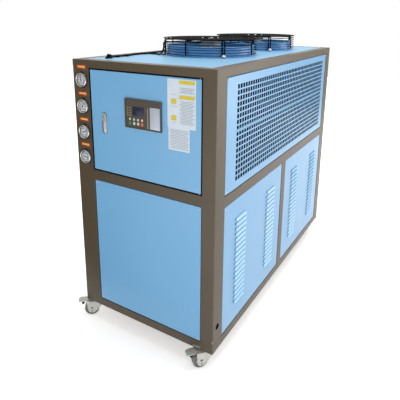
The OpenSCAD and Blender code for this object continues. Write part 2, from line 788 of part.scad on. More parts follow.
module latch_case() {
    well_w = latch_w - 2 * latch_wall;
    color("#b9bdc2") on_front() difference() {
        translate([latch_x, panel_recess, latch_z]) {
            translate([-latch_w / 2, -latch_out, -latch_h / 2]) cube([latch_w, latch_out, latch_h]);
            translate([-latch_w / 2 + 4, -1, -latch_h / 2 + 4]) cube([latch_w - 8, 24, latch_h - 8]);
        }
        translate([latch_x - well_w / 2, panel_recess - latch_out - 1, latch_z - latch_h / 2 + latch_wall])
            cube([well_w, latch_out, latch_h - 36]);
        latch_pivot(paddle_t + 2 * run_clear, well_w + 3);
    }
}

module latch_paddle() {
    color("#d7dadd") on_front() {
        translate([latch_x - paddle_w / 2, paddle_y - paddle_t / 2, paddle_z0]) cube([paddle_w, paddle_t, paddle_l]);
        latch_pivot(paddle_t, latch_w - 2 * latch_wall + 2);
    }
}

// Casters, each in its own frame: the swivel axis at the origin, trailing along +x
module at_caster(i) {
    s = caster_sides[i];
    translate([s[0] * (cab_w / 2 - caster_inset), s[1] * (cab_d / 2 - caster_inset), 0])
        rotate(caster_turn[i]) children();
}

module caster_plates() {
    plate_z = caster_h - caster_sheet;
    color("#a9abad") for (i = [0 : 3]) at_caster(i) {
        rotate(-caster_turn[i]) translate([-caster_plate / 2, -caster_plate / 2, plate_z])
            cube([caster_plate, caster_plate, caster_sheet]);
        translate([0, 0, fork_top + seat_gap]) cylinder(r = 23, h = plate_z - fork_top - seat_gap + eps);
        translate([0, 0, fork_bottom - 2 * seat_gap]) cylinder(d = king_d, h = 12);
        translate([0, 0, fork_bottom - seat_gap - 3]) cylinder(d = king_d + 6, h = 3);
    }
}

module fork_side() {
    rotate([90, 0, 0]) linear_extrude(fork_t) union() {
        polygon([[-24, fork_top], [pedal_u + 7, fork_top], [pedal_u + 7, pedal_z - 8], [trail + 11, wheel_r + 1],
            [trail - 11, wheel_r - 4], [-24, fork_bottom - 4]]);
        translate([trail, wheel_r]) circle(12);
    }
}

module caster_fork(braked) {
    outer = fork_v + fork_t;
    difference() {
        union() {
            translate([-24, -outer, fork_bottom]) cube([70, 2 * outer, fork_t]);
            translate([0, outer, 0]) fork_side();
            translate([0, -fork_v, 0]) fork_side();
            translate([trail, -outer - 3, wheel_r]) rotate([-90, 0, 0]) cylinder(d = axle_d, h = 2 * outer + 6);
            for (v = [-outer - 3, outer]) translate([trail, v, wheel_r]) rotate([-90, 0, 0])
                cylinder(d = axle_d + 5, h = 3, $fn = 6);
            if (braked) for (v = [-outer - 4, fork_v]) translate([pedal_u, v, pedal_z]) rotate([-90, 0, 0])
                cylinder(d = pedal_pin_d, h = fork_t + 4);
        }
        translate([0, 0, fork_bottom - 1]) cylinder(d = king_d + 2 * run_clear, h = fork_t + 2);
    }
}

module caster_wheel() {
    hub = fork_v - 1;
    rim = wheel_w / 2;
    bore = axle_d / 2 + run_clear;
    translate([trail, 0, wheel_r]) rotate([90, 0, 0]) rotate_extrude() polygon([[bore, -hub], [11, -hub], [13, -rim + 4],
        [wheel_r - 10, -rim + 4], [wheel_r - 8, -rim], [wheel_r - 3, -rim], [wheel_r, -rim + 4], [wheel_r, rim - 4],
        [wheel_r - 3, rim], [wheel_r - 8, rim], [wheel_r - 10, rim - 4], [13, rim - 4], [11, hub], [bore, hub]]);
}

module brake_pedal() {
    ear_v = fork_v + fork_t + pedal_ear_gap;
    half = ear_v + pedal_t;
    top = fork_top + pedal_rise;
    pad_u = pedal_u + 24;
    difference() {
        union() {
            translate([pedal_u - 2, -half, top - pedal_t]) cube([pedal_l - pedal_u + 2, 2 * half, pedal_t]);
            translate([pedal_l - pedal_t, -half, top - 10]) cube([pedal_t, 2 * half, 10]);
            for (v = [-half, ear_v]) translate([pedal_u - 6, v, pedal_z - 6]) cube([14, pedal_t, top - pedal_z + 6]);
            translate([pad_u - 3, -4, pedal_z]) cube([6, 8, top - pedal_z]);
            translate([pad_u, -10, pedal_z + 1]) rotate([-90, 0, 0]) cylinder(r = 5, h = 20);
        }
        translate([pedal_u, -half - 1, pedal_z]) rotate([-90, 0, 0])
            cylinder(d = pedal_pin_d + 2 * run_clear, h = 2 * half + 2);
    }
}

module front_left_fork() { color("#b3b5b6") at_caster(0) caster_fork(true); }
module front_right_fork() { color("#b3b5b6") at_caster(1) caster_fork(true); }
module rear_left_fork() { color("#b3b5b6") at_caster(2) caster_fork(false); }
module rear_right_fork() { color("#b3b5b6") at_caster(3) caster_fork(false); }
module front_left_wheel() { color("#8f9290") at_caster(0) caster_wheel(); }
module front_right_wheel() { color("#8f9290") at_caster(1) caster_wheel(); }
module rear_left_wheel() { color("#8f9290") at_caster(2) caster_wheel(); }
module rear_right_wheel() { color("#8f9290") at_caster(3) caster_wheel(); }
module front_left_pedal() { color("#c4c7c9") at_caster(0) brake_pedal(); }
module front_right_pedal() { color("#c4c7c9") at_caster(1) brake_pedal(); }

base_frame();
post_front_left();
post_front_right();
post_rear_left();
post_rear_right();
top_frame();
mid_rails();
side_stiles();
lower_front_panel();
right_grille();
left_grille();
right_louvre_panels();
left_louvre_panels();
rear_upper_panel();
rear_lower_panel();
top_panel();
control_box();
mid_deck();
condenser_coils();
front_fan_collar();
rear_fan_collar();
front_fan_guard();
rear_fan_guard();
front_fan_motor();
rear_fan_motor();
front_fan_rotor();
rear_fan_rotor();
pressure_gauges();
gauge_plates();
lead_gland();
fan_leads();
water_outlet();
water_inlet();
tank_drain();
hinge_pins();
control_door();
controller();
latch_case();
latch_paddle();
caster_plates();
front_left_fork();
front_right_fork();
rear_left_fork();
rear_right_fork();
front_left_wheel();
front_right_wheel();
rear_left_wheel();
rear_right_wheel();
front_left_pedal();
front_right_pedal();
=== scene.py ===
import math

import bmesh
import bpy
from mathutils import Matrix, Vector


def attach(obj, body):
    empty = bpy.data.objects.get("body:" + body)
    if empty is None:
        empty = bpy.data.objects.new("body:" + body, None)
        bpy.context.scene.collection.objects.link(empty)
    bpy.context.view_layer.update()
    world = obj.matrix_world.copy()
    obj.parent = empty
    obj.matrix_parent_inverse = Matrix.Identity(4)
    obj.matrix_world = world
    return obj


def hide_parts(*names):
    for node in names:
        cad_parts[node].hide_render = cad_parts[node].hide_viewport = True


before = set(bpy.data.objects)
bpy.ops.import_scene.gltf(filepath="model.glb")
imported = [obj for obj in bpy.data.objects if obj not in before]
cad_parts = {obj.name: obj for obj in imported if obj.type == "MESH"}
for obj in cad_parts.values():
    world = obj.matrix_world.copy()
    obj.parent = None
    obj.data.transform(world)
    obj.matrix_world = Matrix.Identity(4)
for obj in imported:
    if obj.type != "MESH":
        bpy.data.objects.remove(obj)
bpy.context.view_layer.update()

# Sizes are in millimetres on the face that carries a piece; the face's matrix takes them to metres.
MM = 0.001
SAME = Matrix.Identity(4)
TO_METRES = Matrix.Scale(MM, 4)
WIDTH = 700.0
DEPTH = 1465.0
HEIGHT = 1158.0
CASTER = 90.0
ROOF_Z = CASTER + HEIGHT
DOOR_FACE = -1.0
FAN_Y = (-169.5, 363.5)
scene = bpy.context.scene


def face_frame(right, up, out, origin):
    """Matrix from a face's own right, up and outward millimetres to the shared frame."""
    turn = Matrix((right, up, out)).transposed().to_4x4()
    return Matrix.Translation(Vector(origin) * MM) @ turn @ TO_METRES


FRONT = face_frame((1, 0, 0), (0, 0, 1), (0, -1, 0), (0, -DEPTH / 2, CASTER))
REAR = face_frame((-1, 0, 0), (0, 0, 1), (0, 1, 0), (0, DEPTH / 2, CASTER))
RIGHT = face_frame((0, 1, 0), (0, 0, 1), (1, 0, 0), (WIDTH / 2, 0, CASTER))
LEFT = face_frame((0, -1, 0), (0, 0, 1), (-1, 0, 0), (-WIDTH / 2, 0, CASTER))
ROOF = face_frame((1, 0, 0), (0, 1, 0), (0, 0, 1), (0, 0, ROOF_Z))
SIDES = {"right": RIGHT, "left": LEFT}
FANS = {name: ROOF @ Matrix.Translation((0, y, 0)) for name, y in zip(("front", "rear"), FAN_Y)}


def rotation(degrees, axis="Z"):
    return Matrix.Rotation(math.radians(degrees), 4, axis)


def at(u, v, w=0.0, turn=0.0):
    """A place on a face, turned about the outward direction in degrees."""
    return Matrix.Translation((u, v, w)) @ rotation(turn)


def linked(name, data):
    """A new object in the scene."""
    ob = bpy.data.objects.new(name, data)
    scene.collection.objects.link(ob)
    return ob


# The camera stands to the right of the front corner, a little above the roof.
IMAGE = 400.0
FOCAL_PX = 426.29
AXIS_ROW = 125.0
EYE = (1047.62, -2009.17, 1416.73)
azimuth, elevation, roll = (math.radians(a) for a in (30.92, 14.01, 0.49))
lens = bpy.data.cameras.new("camera")
lens.sensor_width = 36.0
lens.lens = FOCAL_PX / IMAGE * lens.sensor_width
lens.shift_y = (AXIS_ROW - IMAGE / 2) / IMAGE
lens.clip_start = 0.05
lens.clip_end = 100.0
back = Vector((math.sin(azimuth) * math.cos(elevation), -math.cos(azimuth) * math.cos(elevation),
               math.sin(elevation)))
level = Vector((math.cos(azimuth), math.sin(azimuth), 0))
upright = back.cross(level)
tilted = level * math.cos(roll) + upright * math.sin(roll)
camera = linked("camera", lens)
camera.matrix_world = (Matrix.Translation(Vector(EYE) * MM)
                       @ Matrix((tilted, back.cross(tilted), back)).transposed().to_4x4())
scene.camera = camera
scene.view_settings.view_transform = "Standard"


# Finishes
BUMP_DEPTH = 0.4 * MM


def linear(code):
    """An sRGB hex colour as linear RGBA."""
    values = [int(code[i:i + 2], 16) / 255 for i in (1, 3, 5)]
    return (*[c / 12.92 if c <= 0.04045 else ((c + 0.055) / 1.055) ** 2.4 for c in values], 1.0)


def feed(tree, node, inputs):
    """Sets a node's inputs: each to a value, or to the socket that feeds it."""
    for key, value in inputs.items():
        if isinstance(value, bpy.types.NodeSocket):
            tree.links.new(value, node.inputs[key])
        else:
            node.inputs[key].default_value = value


def add(tree, kind, inputs=None, **settings):
    """A node with its settings and inputs."""
    node = tree.nodes.new(kind)
    for key, value in settings.items():
        setattr(node, key, value)
    feed(tree, node, inputs or {})
    return node


def per_metre(size):
    """Noise scale whose lumps are that many millimetres across."""
    return 1 / (size * MM)


def surface(name, light, dark, patch, grain, bump, rough, metallic=0.0, drift=0.05, **sockets):
    """A finish that drifts between two colours over patches, with a fine grain in its bump and gloss."""
    material = bpy.data.materials.new(name)
    material.use_nodes = True
    tree = material.node_tree
    place = add(tree, "ShaderNodeTexCoord").outputs["Object"]
    cloud = add(tree, "ShaderNodeTexNoise", {"Vector": place, "Scale": per_metre(patch), "Detail": 3.0})
    tint = add(tree, "ShaderNodeMix", {0: cloud.outputs[0], 6: linear(dark), 7: linear(light)},
               data_type="RGBA")
    fine = add(tree, "ShaderNodeTexNoise", {"Vector": place, "Scale": per_metre(grain), "Detail": 2.0})
    lumps = add(tree, "ShaderNodeBump", {"Strength": bump, "Distance": BUMP_DEPTH, "Height": fine.outputs[0]})
    gloss = add(tree, "ShaderNodeMapRange",
                {"Value": cloud.outputs[0], "To Min": rough - drift, "To Max": rough + drift})
    feed(tree, tree.nodes["Principled BSDF"],
         {"Base Color": tint.outputs[2], "Normal": lumps.outputs[0], "Roughness": gloss.outputs[0],
          "Metallic": metallic, **{key.replace("_", " "): value for key, value in sockets.items()}})
    return material


# Powder coat on folded steel: satin, with an orange peel drawn at 5 mm because the real 1 mm doesn't show
taupe_coat = surface("taupe_powder_coat", "#4c3f27", "#423520", 160, 5, 0.05, 0.4, drift=0.02,
                     Specular_IOR_Level=0.42)
# Powder coat on the panels: smoother and glossier than the frame's, so the panels catch soft reflections
sky_coat = surface("sky_blue_powder_coat", "#6aa5cf", "#65a0ca", 220, 6, 0.015, 0.28, drift=0.01)
# The same coat on the side panels and the roof: on the side panels painted paler, a painted sheen standing in
# for the light they catch; on the roof duller
side_coat = surface("blue_powder_coat_painted_sheen", "#72a6cf", "#6da1ca", 220, 6, 0.015, 0.28, drift=0.01)
roof_coat = surface("dull_blue_powder_coat", "#72a2c1", "#6d9dbc", 220, 6, 0.015, 0.42, drift=0.02)
# The same coat on the louvres, painted paler as a painted highlight on the sloping hoods, with painted shade
# along the upper part of each, under the lip above
louvre_coat = surface("sky_blue_powder_coat_painted_light_and_shade", "#90caf0", "#8ac3ea", 220, 6, 0.015, 0.28, drift=0.01)
# Stoved enamel on the spun collars: deeper blue, glossy
collar_coat = surface("mid_blue_enamel", "#5ba1e0", "#4d93d2", 90, 4, 0.06, 0.3)
# Dip coated wire: black with a soft shine along each round
wire_coat = surface("black_dipped_wire", "#030304", "#020203", 30, 3, 0.1, 0.55, Specular_IOR_Level=0.05)
# Painted cast motor bodies: pale grey, slightly rough
motor_paint = surface("cast_aluminium_motor", "#dfe6ee", "#cbd3dc", 25, 2, 0.3, 0.5)
# Pressed blades in black paint, a little paler in patches
blade_paint = surface("black_blade_paint", "#303236", "#222428", 40, 3, 0.12, 0.42)
# Zinc plate: cool grey metal, cloudy
zinc_plate = surface("bright_zinc_plate", "#dddcd5", "#98978f", 9, 1.5, 0.1, 0.42, 0.25)
# Zinc on the screw heads: nearly white, small and bright
screw_zinc = surface("bright_zinc_screw", "#ccd3d9", "#b3bbc2", 4, 0.8, 0.05, 0.3, 0.3)
# Zinc on the hexagon bolts: white and bright
bolt_zinc = surface("white_zinc_bolt", "#f4f5f5", "#e2e4e5", 4, 0.8, 0.05, 0.3, 0.2)
# Pressed steel gauge cases: dull and dark beside their bright rings
case_steel = surface("dull_steel_gauge_case", "#524f4a", "#42403c", 16, 3, 0.05, 0.15, 1.0)
# Chromium plate: mirror bright
chrome_plate = surface("polished_chrome", "#d5d5d3", "#bcbcb9", 40, 8, 0.02, 0.14, 1.0)
# Screen-printed dial sheet: matt off-white
dial_print = surface("white_dial_print", "#bcc0c7", "#adb2ba", 12, 1, 0.02, 0.5)
# Printing ink: dead black
black_ink = surface("black_ink", "#161616", "#101010", 5, 1, 0.02, 0.6)
# Acrylic plates over the gauges: a red ground and an orange field, glossy
plate_red = surface("red_acrylic", "#8f3312", "#7a2a0e", 10, 2, 0.02, 0.35)
plate_orange = surface("orange_acrylic", "#f3a936", "#ea9a2c", 10, 2, 0.02, 0.35)
# Laminated paper cards and their print: white, yellow and grey, with a soft shine
card_white = surface("laminated_white_card", "#c9d3dd", "#bdc8d3", 40, 3, 0.04, 0.4)
card_yellow = surface("yellow_card_print", "#cbbb1f", "#beae1a", 12, 2, 0.03, 0.4)
card_grey = surface("grey_card_print", "#88919c", "#79828d", 12, 2, 0.03, 0.45)
# Moulded ABS of the controller: dark brown, fine spark texture
case_brown = surface("brown_spark_textured_abs", "#423a2b", "#383123", 12, 1.2, 0.2, 0.46)
frame_brown = surface("taupe_bezel_abs", "#463d32", "#3b3329", 12, 1.2, 0.15, 0.42)
# Tinted display window: nearly black blue and glossy
display_tint = surface("navy_display_window", "#1c2740", "#161f36", 20, 4, 0.01, 0.28, Specular_IOR_Level=0.3)
# Membrane keys: one flat colour each, half matt
key_pale = surface("pale_membrane_key", "#c9cabf", "#b9bbb0", 5, 1, 0.03, 0.45)
key_green = surface("green_membrane_key", "#2f7a55", "#276a49", 5, 1, 0.03, 0.45)
key_mint = surface("mint_membrane_key", "#b5d3bd", "#a5c5ae", 5, 1, 0.03, 0.45)
key_red = surface("red_membrane_key", "#d0532f", "#bd4526", 5, 1, 0.03, 0.45)
# Brushed strip beside the inlay: duller than it
divider_grey = surface("dull_aluminium_strip", "#8d8c85", "#7b7a74", 6, 1, 0.05, 0.45)
# Satin aluminium inlay beside the keys
inlay_silver = surface("satin_aluminium_inlay", "#b4bcc8", "#a4acb8", 8, 1, 0.05, 0.4, 0.2)
# Amber lamp lenses, unlit
lamp_amber = surface("amber_lamp_lens", "#a8965c", "#94834e", 5, 1, 0.03, 0.35)
# Rubber and cable sheath: black, matt
sheath_black = surface("black_cable_sheath", "#060606", "#040404", 12, 2, 0.2, 0.55, Specular_IOR_Level=0.1)
# Polyurethane treads: grey, matt; the nylon hubs are paler and shine a little
tread_grey = surface("grey_polyurethane_tread", "#7f7f79", "#6b6b66", 14, 2, 0.15, 0.55)
hub_grey = surface("grey_nylon_hub", "#bdbcb4", "#a3a29b", 14, 2, 0.1, 0.42)
# Coated fins: blue black, fine edged
fin_coat = surface("blue_black_coated_fins", "#0c1a33", "#081226", 60, 4, 0.1, 0.6, Specular_IOR_Level=0.15)
# Primer on the stiffeners behind the grilles: pale teal, matt
teal_primer = surface("pale_teal_primer", "#559ab7", "#4a8ba8", 60, 4, 0.1, 0.5)
# Steel where the paint has chipped off: bright, scratched
bare_steel = surface("bare_chipped_steel", "#c9cdd2", "#9fa4aa", 3, 0.6, 0.3, 0.35, 0.8)
# Frame coat rubbed thin: paler and duller than the sound coat
rubbed_coat = surface("rubbed_taupe_coat", "#8d877c", "#6e675b", 7, 1.2, 0.15, 0.55)
# Nickel plate on the latch: satin grey
satin_nickel = surface("satin_nickel_plate", "#c4c3c5", "#adacaf", 20, 2, 0.04, 0.32, 0.8)
# Copper tubes: browned, a dull warm metal
copper_tube = surface("browned_copper_tube", "#6b452f", "#4f3122", 18, 3, 0.08, 0.5, 0.7)
# Machined brass of the pipe stubs: yellow, shiny
brass_turned = surface("turned_brass", "#c3a05a", "#a9853f", 15, 2, 0.06, 0.28, 1.0)
# Cream paint inside the control box: pale, satin
cream_paint = surface("cream_box_paint", "#d3cfc2", "#c5c0b2", 120, 4, 0.1, 0.45)
# Moulded switchgear: pale grey and charcoal, satin
switch_grey = surface("pale_grey_switchgear", "#d5d7d6", "#c6c8c7", 20, 2, 0.06, 0.42)
switch_dark = surface("charcoal_switchgear", "#3b3d40", "#2f3133", 20, 2, 0.06, 0.42)
# Galvanised deck, end plates and mounting plate: cool grey metal with a soft shine
galvanised = surface("galvanised_sheet", "#b4b8b9", "#979c9e", 18, 3, 0.06, 0.4, 0.9)
# Instrument glass: clear, seen by its shine alone
dial_glass = surface("clear_dial_glass", "#ffffff", "#f4f7f8", 20, 8, 0.0, 0.1, Alpha=0.05)


# Mesh pieces
def dressed(ob, body, nodes):
    """Gives a piece its body and hides the solids it stands for."""
    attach(ob, body)
    if nodes:
        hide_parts(*nodes)


def shaded(mesh, smooth):
    """Smooth shading, with edges above that angle in degrees kept sharp."""
    mesh.shade_smooth()
    mesh.set_sharp_from_angle(angle=math.radians(smooth))


def plain_object(name, bm, finish, smooth):
    """An object at the origin from a mesh that already holds its place."""
    bmesh.ops.recalc_face_normals(bm, faces=bm.faces)
    mesh = bpy.data.meshes.new(name)
    bm.to_mesh(mesh)
    bm.free()
    mesh.materials.append(finish)
    shaded(mesh, smooth)
    return linked(name, mesh)


def piece(name, bm, finish, slot, *nodes, body="cabinet", place=SAME, smooth=32):
    bm.transform(place)
    dressed(plain_object(name, bm, finish, smooth), body, nodes)


def made(shape, *values, **options):
    """A new mesh that holds one shape."""
    bm = bmesh.new()
    shape(bm, *values, **options)
    return bm


def block(bm, u0, u1, v0, v1, w0, w1, place=SAME):
    """A closed cuboid between those limits."""
    corner = [bm.verts.new(place @ Vector((u, v, w))) for u in (u0, u1) for v in (v0, v1) for w in (w0, w1)]
    for side in ((0, 1, 3, 2), (4, 6, 7, 5), (0, 4, 5, 1), (2, 3, 7, 6), (0, 2, 6, 4), (1, 5, 7, 3)):
        bm.faces.new([corner[i] for i in side])


def border(bm, u, v, width, w0, w1):
    """Four bars round the inside of a rectangle."""
    for low in (v[0], v[1] - width):
        block(bm, *u, low, low + width, w0, w1)
    for near in (u[0], u[1] - width):
        block(bm, near, near + width, v[0] + width, v[1] - width, w0, w1)


def bridge(bm, loops, closed=False):
    """Faces from each loop of points to the next; a loop can be a single point."""
    for a, b in zip(loops, loops[1:] + loops[:1] if closed else loops[1:]):
        for k in range(max(len(a), len(b))):
            n = k + 1
            corners = dict.fromkeys((a[k % len(a)], a[n % len(a)], b[n % len(b)], b[k % len(b)]))
            if len(corners) > 2:
                bm.faces.new(list(corners))


def capped(bm, loops):
    """A skin over loops of points, with a lid at both ends."""
    bridge(bm, loops)
    bm.faces.new(loops[0][::-1])
    bm.faces.new(loops[-1])


def lathe(bm, profile, place=SAME, turns=48, closed=False):
    """Turns (radius, height) points about the outward direction."""
    angles = [k * math.tau / turns for k in range(turns)]
    loops = []
    for r, w in profile:
        loops.append([bm.verts.new(place @ Vector((r * math.cos(a), r * math.sin(a), w)))
                      for a in (angles if r > 1e-6 else angles[:1])])
    bridge(bm, loops, closed)


def arc_points(centre, radius, start, end, steps):
    """Points of an arc in (radius, height), angles in degrees."""
    angles = [math.radians(start + (end - start) * i / steps) for i in range(steps + 1)]
    return [(centre[0] + radius * math.cos(a), centre[1] + radius * math.sin(a)) for a in angles]


def rounded_rect(w, h, r, u=0.0, v=0.0, steps=5):
    """Outline of a rectangle with round corners."""
    outline = []
    for k, (su, sv) in enumerate(((1, 1), (-1, 1), (-1, -1), (1, -1))):
        outline += arc_points((u + su * (w / 2 - r), v + sv * (h / 2 - r)), r, 90 * k, 90 * k + 90, steps)
    return outline


def inset(outline, amount):
    """The outline moved inwards, for outlines that run anticlockwise."""
    moved = []
    count = len(outline)
    for i in range(count):
        p, q, r = (Vector(outline[(i + k) % count]) for k in (-1, 0, 1))
        a = Vector((-(q - p).y, (q - p).x)).normalized()
        b = Vector((-(r - q).y, (r - q).x)).normalized()
        way = a + b
        if way.length < 1e-9:
            moved.append(tuple(q))
            continue
        way.normalize()
        moved.append(tuple(q + way * amount / max(way.dot(a), 0.4)))
    return moved


def ring(bm, outline, w, place=SAME):
    """The points of an outline at that height."""
    return [bm.verts.new(place @ Vector((u, v, w))) for u, v in outline]


def plate(bm, outline, w0, w1, soft=0.0, place=SAME):
    """A plate of that outline from w0 up to w1, its upper and lower rims rounded by soft."""
    levels = [(0, w0), (0, w1)]
    if soft:
        bit = soft * 0.3
        levels = [(soft, w0), (bit, w0 + bit), (0, w0 + soft), (0, w1 - soft), (bit, w1 - bit), (soft, w1)]
    capped(bm, [ring(bm, inset(outline, d) if d else outline, w, place) for d, w in levels])


def filleted(points, radius, steps=5, loop=False):
    """A path with its corners rounded."""
    path = []
    count = len(points)
    for i, p in enumerate(points):
        p = Vector(p)
        if not loop and i in (0, count - 1):
            path.append(p)
            continue
        before, after = Vector(points[i - 1]) - p, Vector(points[(i + 1) % count]) - p
        reach = min(radius, before.length * 0.48, after.length * 0.48)
        a, b = p + before.normalized() * reach, p + after.normalized() * reach
        for k in range(steps + 1):
            t = k / steps
            path.append(a * (1 - t) ** 2 + p * 2 * t * (1 - t) + b * t * t)
    return path


def eased(outline, radius, steps):
    """A flat outline with its corners rounded."""
    return [(p.x, p.y) for p in filleted([(u, v, 0) for u, v in outline], radius, steps, loop=True)]


# What counts as one point, as flat and as a sharp edge in the sheet parts
ONE_POINT = 0.05 * MM
FLAT, SHARP = math.radians(1), math.radians(40)


def softened(node, finish, slot, width, body="cabinet"):
    """A copy of a sheet part with its folds and cut edges rounded."""
    bm = bmesh.new()
    bm.from_mesh(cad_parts[node].data)
    bmesh.ops.remove_doubles(bm, verts=bm.verts, dist=ONE_POINT)
    bmesh.ops.dissolve_limit(bm, angle_limit=FLAT, verts=bm.verts, edges=bm.edges)
    sharp = [e for e in bm.edges if len(e.link_faces) == 2 and e.calc_face_angle() > SHARP]
    bmesh.ops.bevel(bm, geom=sharp, offset=width * MM, segments=2, profile=0.5, affect="EDGES",
                    clamp_overlap=True)
    piece(node + "_folded", bm, finish, slot, node, body=body, smooth=12)


# Node trees that set out what repeats and what follows a path
def new_tree(name, *inputs):
    tree = bpy.data.node_groups.new(name, "GeometryNodeTree")
    for label, kind in (("Geometry", "NodeSocketGeometry"), *inputs, ("Finish", "NodeSocketMaterial")):
        tree.interface.new_socket(label, in_out="INPUT", socket_type=kind)
    tree.interface.new_socket("Geometry", in_out="OUTPUT", socket_type="NodeSocketGeometry")
    return tree, add(tree, "NodeGroupInput").outputs


def end_tree(tree, geometry, finish):
    """Makes the geometry real, coats it and hands it on."""
    real = add(tree, "GeometryNodeRealizeInstances", {0: geometry})
    coated = add(tree, "GeometryNodeSetMaterial", {"Geometry": real.outputs[0], "Material": finish})
    add(tree, "NodeGroupOutput", {0: coated.outputs[0]})
    return tree


def copies_tree():
    """Sets a shape on every point, turned and sized by the point's own values."""
    tree, given = new_tree("set_out_copies", ("Shape", "NodeSocketObject"))
    turn = add(tree, "GeometryNodeInputNamedAttribute", {"Name": "turn"}, data_type="FLOAT_VECTOR")
    size = add(tree, "GeometryNodeInputNamedAttribute", {"Name": "size"}, data_type="FLOAT_VECTOR")
    euler = add(tree, "FunctionNodeEulerToRotation", {0: turn.outputs[0]})
    shape = add(tree, "GeometryNodeObjectInfo", {"Object": given["Shape"]})
    copies = add(tree, "GeometryNodeInstanceOnPoints",
                 {"Points": given["Geometry"], "Instance": shape.outputs["Geometry"],
                  "Rotation": euler.outputs[0], "Scale": size.outputs[0]})
    return end_tree(tree, copies.outputs[0], given["Finish"])


def wires_tree():
    """Draws a round wire along every path."""
    tree, given = new_tree("draw_wires", ("Radius", "NodeSocketFloat"), ("Sides", "NodeSocketInt"))
    path = add(tree, "GeometryNodeMeshToCurve", {0: given["Geometry"]})
    section = add(tree, "GeometryNodeCurvePrimitiveCircle",
                  {"Resolution": given["Sides"], "Radius": given["Radius"]})
    wire = add(tree, "GeometryNodeCurveToMesh",
               {"Curve": path.outputs[0], "Profile Curve": section.outputs[0], "Fill Caps": True})
    return end_tree(tree, wire.outputs[0], given["Finish"])


COPIES = copies_tree()
WIRES = wires_tree()
ROUND_SMOOTH = 50


def grown(name, seed, tree, smooth, **inputs):
    """The plain mesh object that a tree makes from a seed mesh."""
    ob = linked(name, seed)
    step = ob.modifiers.new("grow", "NODES")
    step.node_group = tree
    for item in tree.interface.items_tree:
        if item.in_out == "INPUT" and item.name in inputs:
            step[item.identifier] = inputs[item.name]
    mesh = bpy.data.meshes.new_from_object(ob.evaluated_get(bpy.context.evaluated_depsgraph_get()))
    ob.modifiers.clear()
    ob.data = mesh
    mesh.name = name
    shaded(mesh, smooth)
    return ob


def set_out(name, shape, places, finish, slot, *nodes, body="cabinet", smooth=32):
    """Copies of a millimetre shape at places: matrices in the shared frame, or pairs of matrix and size."""
    model = plain_object(name + "_shape", shape, finish, smooth)
    seed = bpy.data.meshes.new(name)
    pairs = [p if isinstance(p, tuple) else (p, (1, 1, 1)) for p in places]
    seed.from_pydata([p.translation for p, _ in pairs], [], [])
    turn = seed.attributes.new("turn", "FLOAT_VECTOR", "POINT")
    size = seed.attributes.new("size", "FLOAT_VECTOR", "POINT")
    turn.data.foreach_set("vector", [a for p, _ in pairs for a in p.to_euler("XYZ")])
    size.data.foreach_set("vector", [a * MM for _, s in pairs for a in s])
    ob = grown(name, seed, COPIES, smooth, Shape=model, Finish=finish)
    bpy.data.objects.remove(model)
    dressed(ob, body, nodes)


def wires(name, paths, place, radius, finish, slot, *nodes, sides=8):
    """Round wires on the cabinet along paths of points; a pair (points, True) is a closed ring."""
    seed = bpy.data.meshes.new(name)
    verts = []
    edges = []
    for path in paths:
        points, closed = path if isinstance(path, tuple) else (path, False)
        first = len(verts)
        verts += [place @ Vector(p) for p in points]
        edges += [(first + i, first + i + 1) for i in range(len(points) - 1)]
        if closed:
            edges.append((len(verts) - 1, first))
    seed.from_pydata(verts, edges, [])
    ob = grown(name, seed, WIRES, ROUND_SMOOTH, Radius=radius * MM, Sides=sides, Finish=finish)
    dressed(ob, "cabinet", nodes)


def turned(points, degrees):
    """Points turned about the outward direction."""
    turn = rotation(degrees).to_3x3()
    return [turn @ Vector(p) for p in points]


def circle(radius, height, steps=72):
    return ([(radius * math.cos(i * math.tau / steps), radius * math.sin(i * math.tau / steps), height)
             for i in range(steps)], True)


# Frame and flat panels, with the radius of their folds and cut edges
FRAME_EDGE = 0.35
PANEL_EDGE = 1.4
BOX_EDGE = 0.7
for name in ("base_frame", "post_front_left", "post_front_right", "post_rear_left", "post_rear_right",
             "top_frame", "mid_rails", "side_stiles"):
    softened(name, taupe_coat, "frame_paint", FRAME_EDGE)
for name in ("lower_front_panel", "rear_upper_panel", "rear_lower_panel"):
    softened(name, sky_coat, "panel_blue", PANEL_EDGE)
softened("top_panel", roof_coat, "panel_blue", PANEL_EDGE)
softened("control_door", sky_coat, "panel_blue", PANEL_EDGE, body="door")
softened("control_box", cream_paint, "zinc", BOX_EDGE)
for name, finish in (("mid_deck", galvanised), ("hinge_pins", zinc_plate)):
    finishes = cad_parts[name].data.materials
    finishes.clear()
    finishes.append(finish)

SHEET = 1.5
GRILLE_SHEET = 0.9
PANEL_BACK = -20.0
FOLD = 1.3
FOLD_DROP = 0.8
PANEL_SMOOTH = 15


def with_folds(start, end, cuts):
    """Lines across a panel: its edges, the folds beside them and the cuts between."""
    return [start, start + FOLD, *cuts, end - FOLD, end]


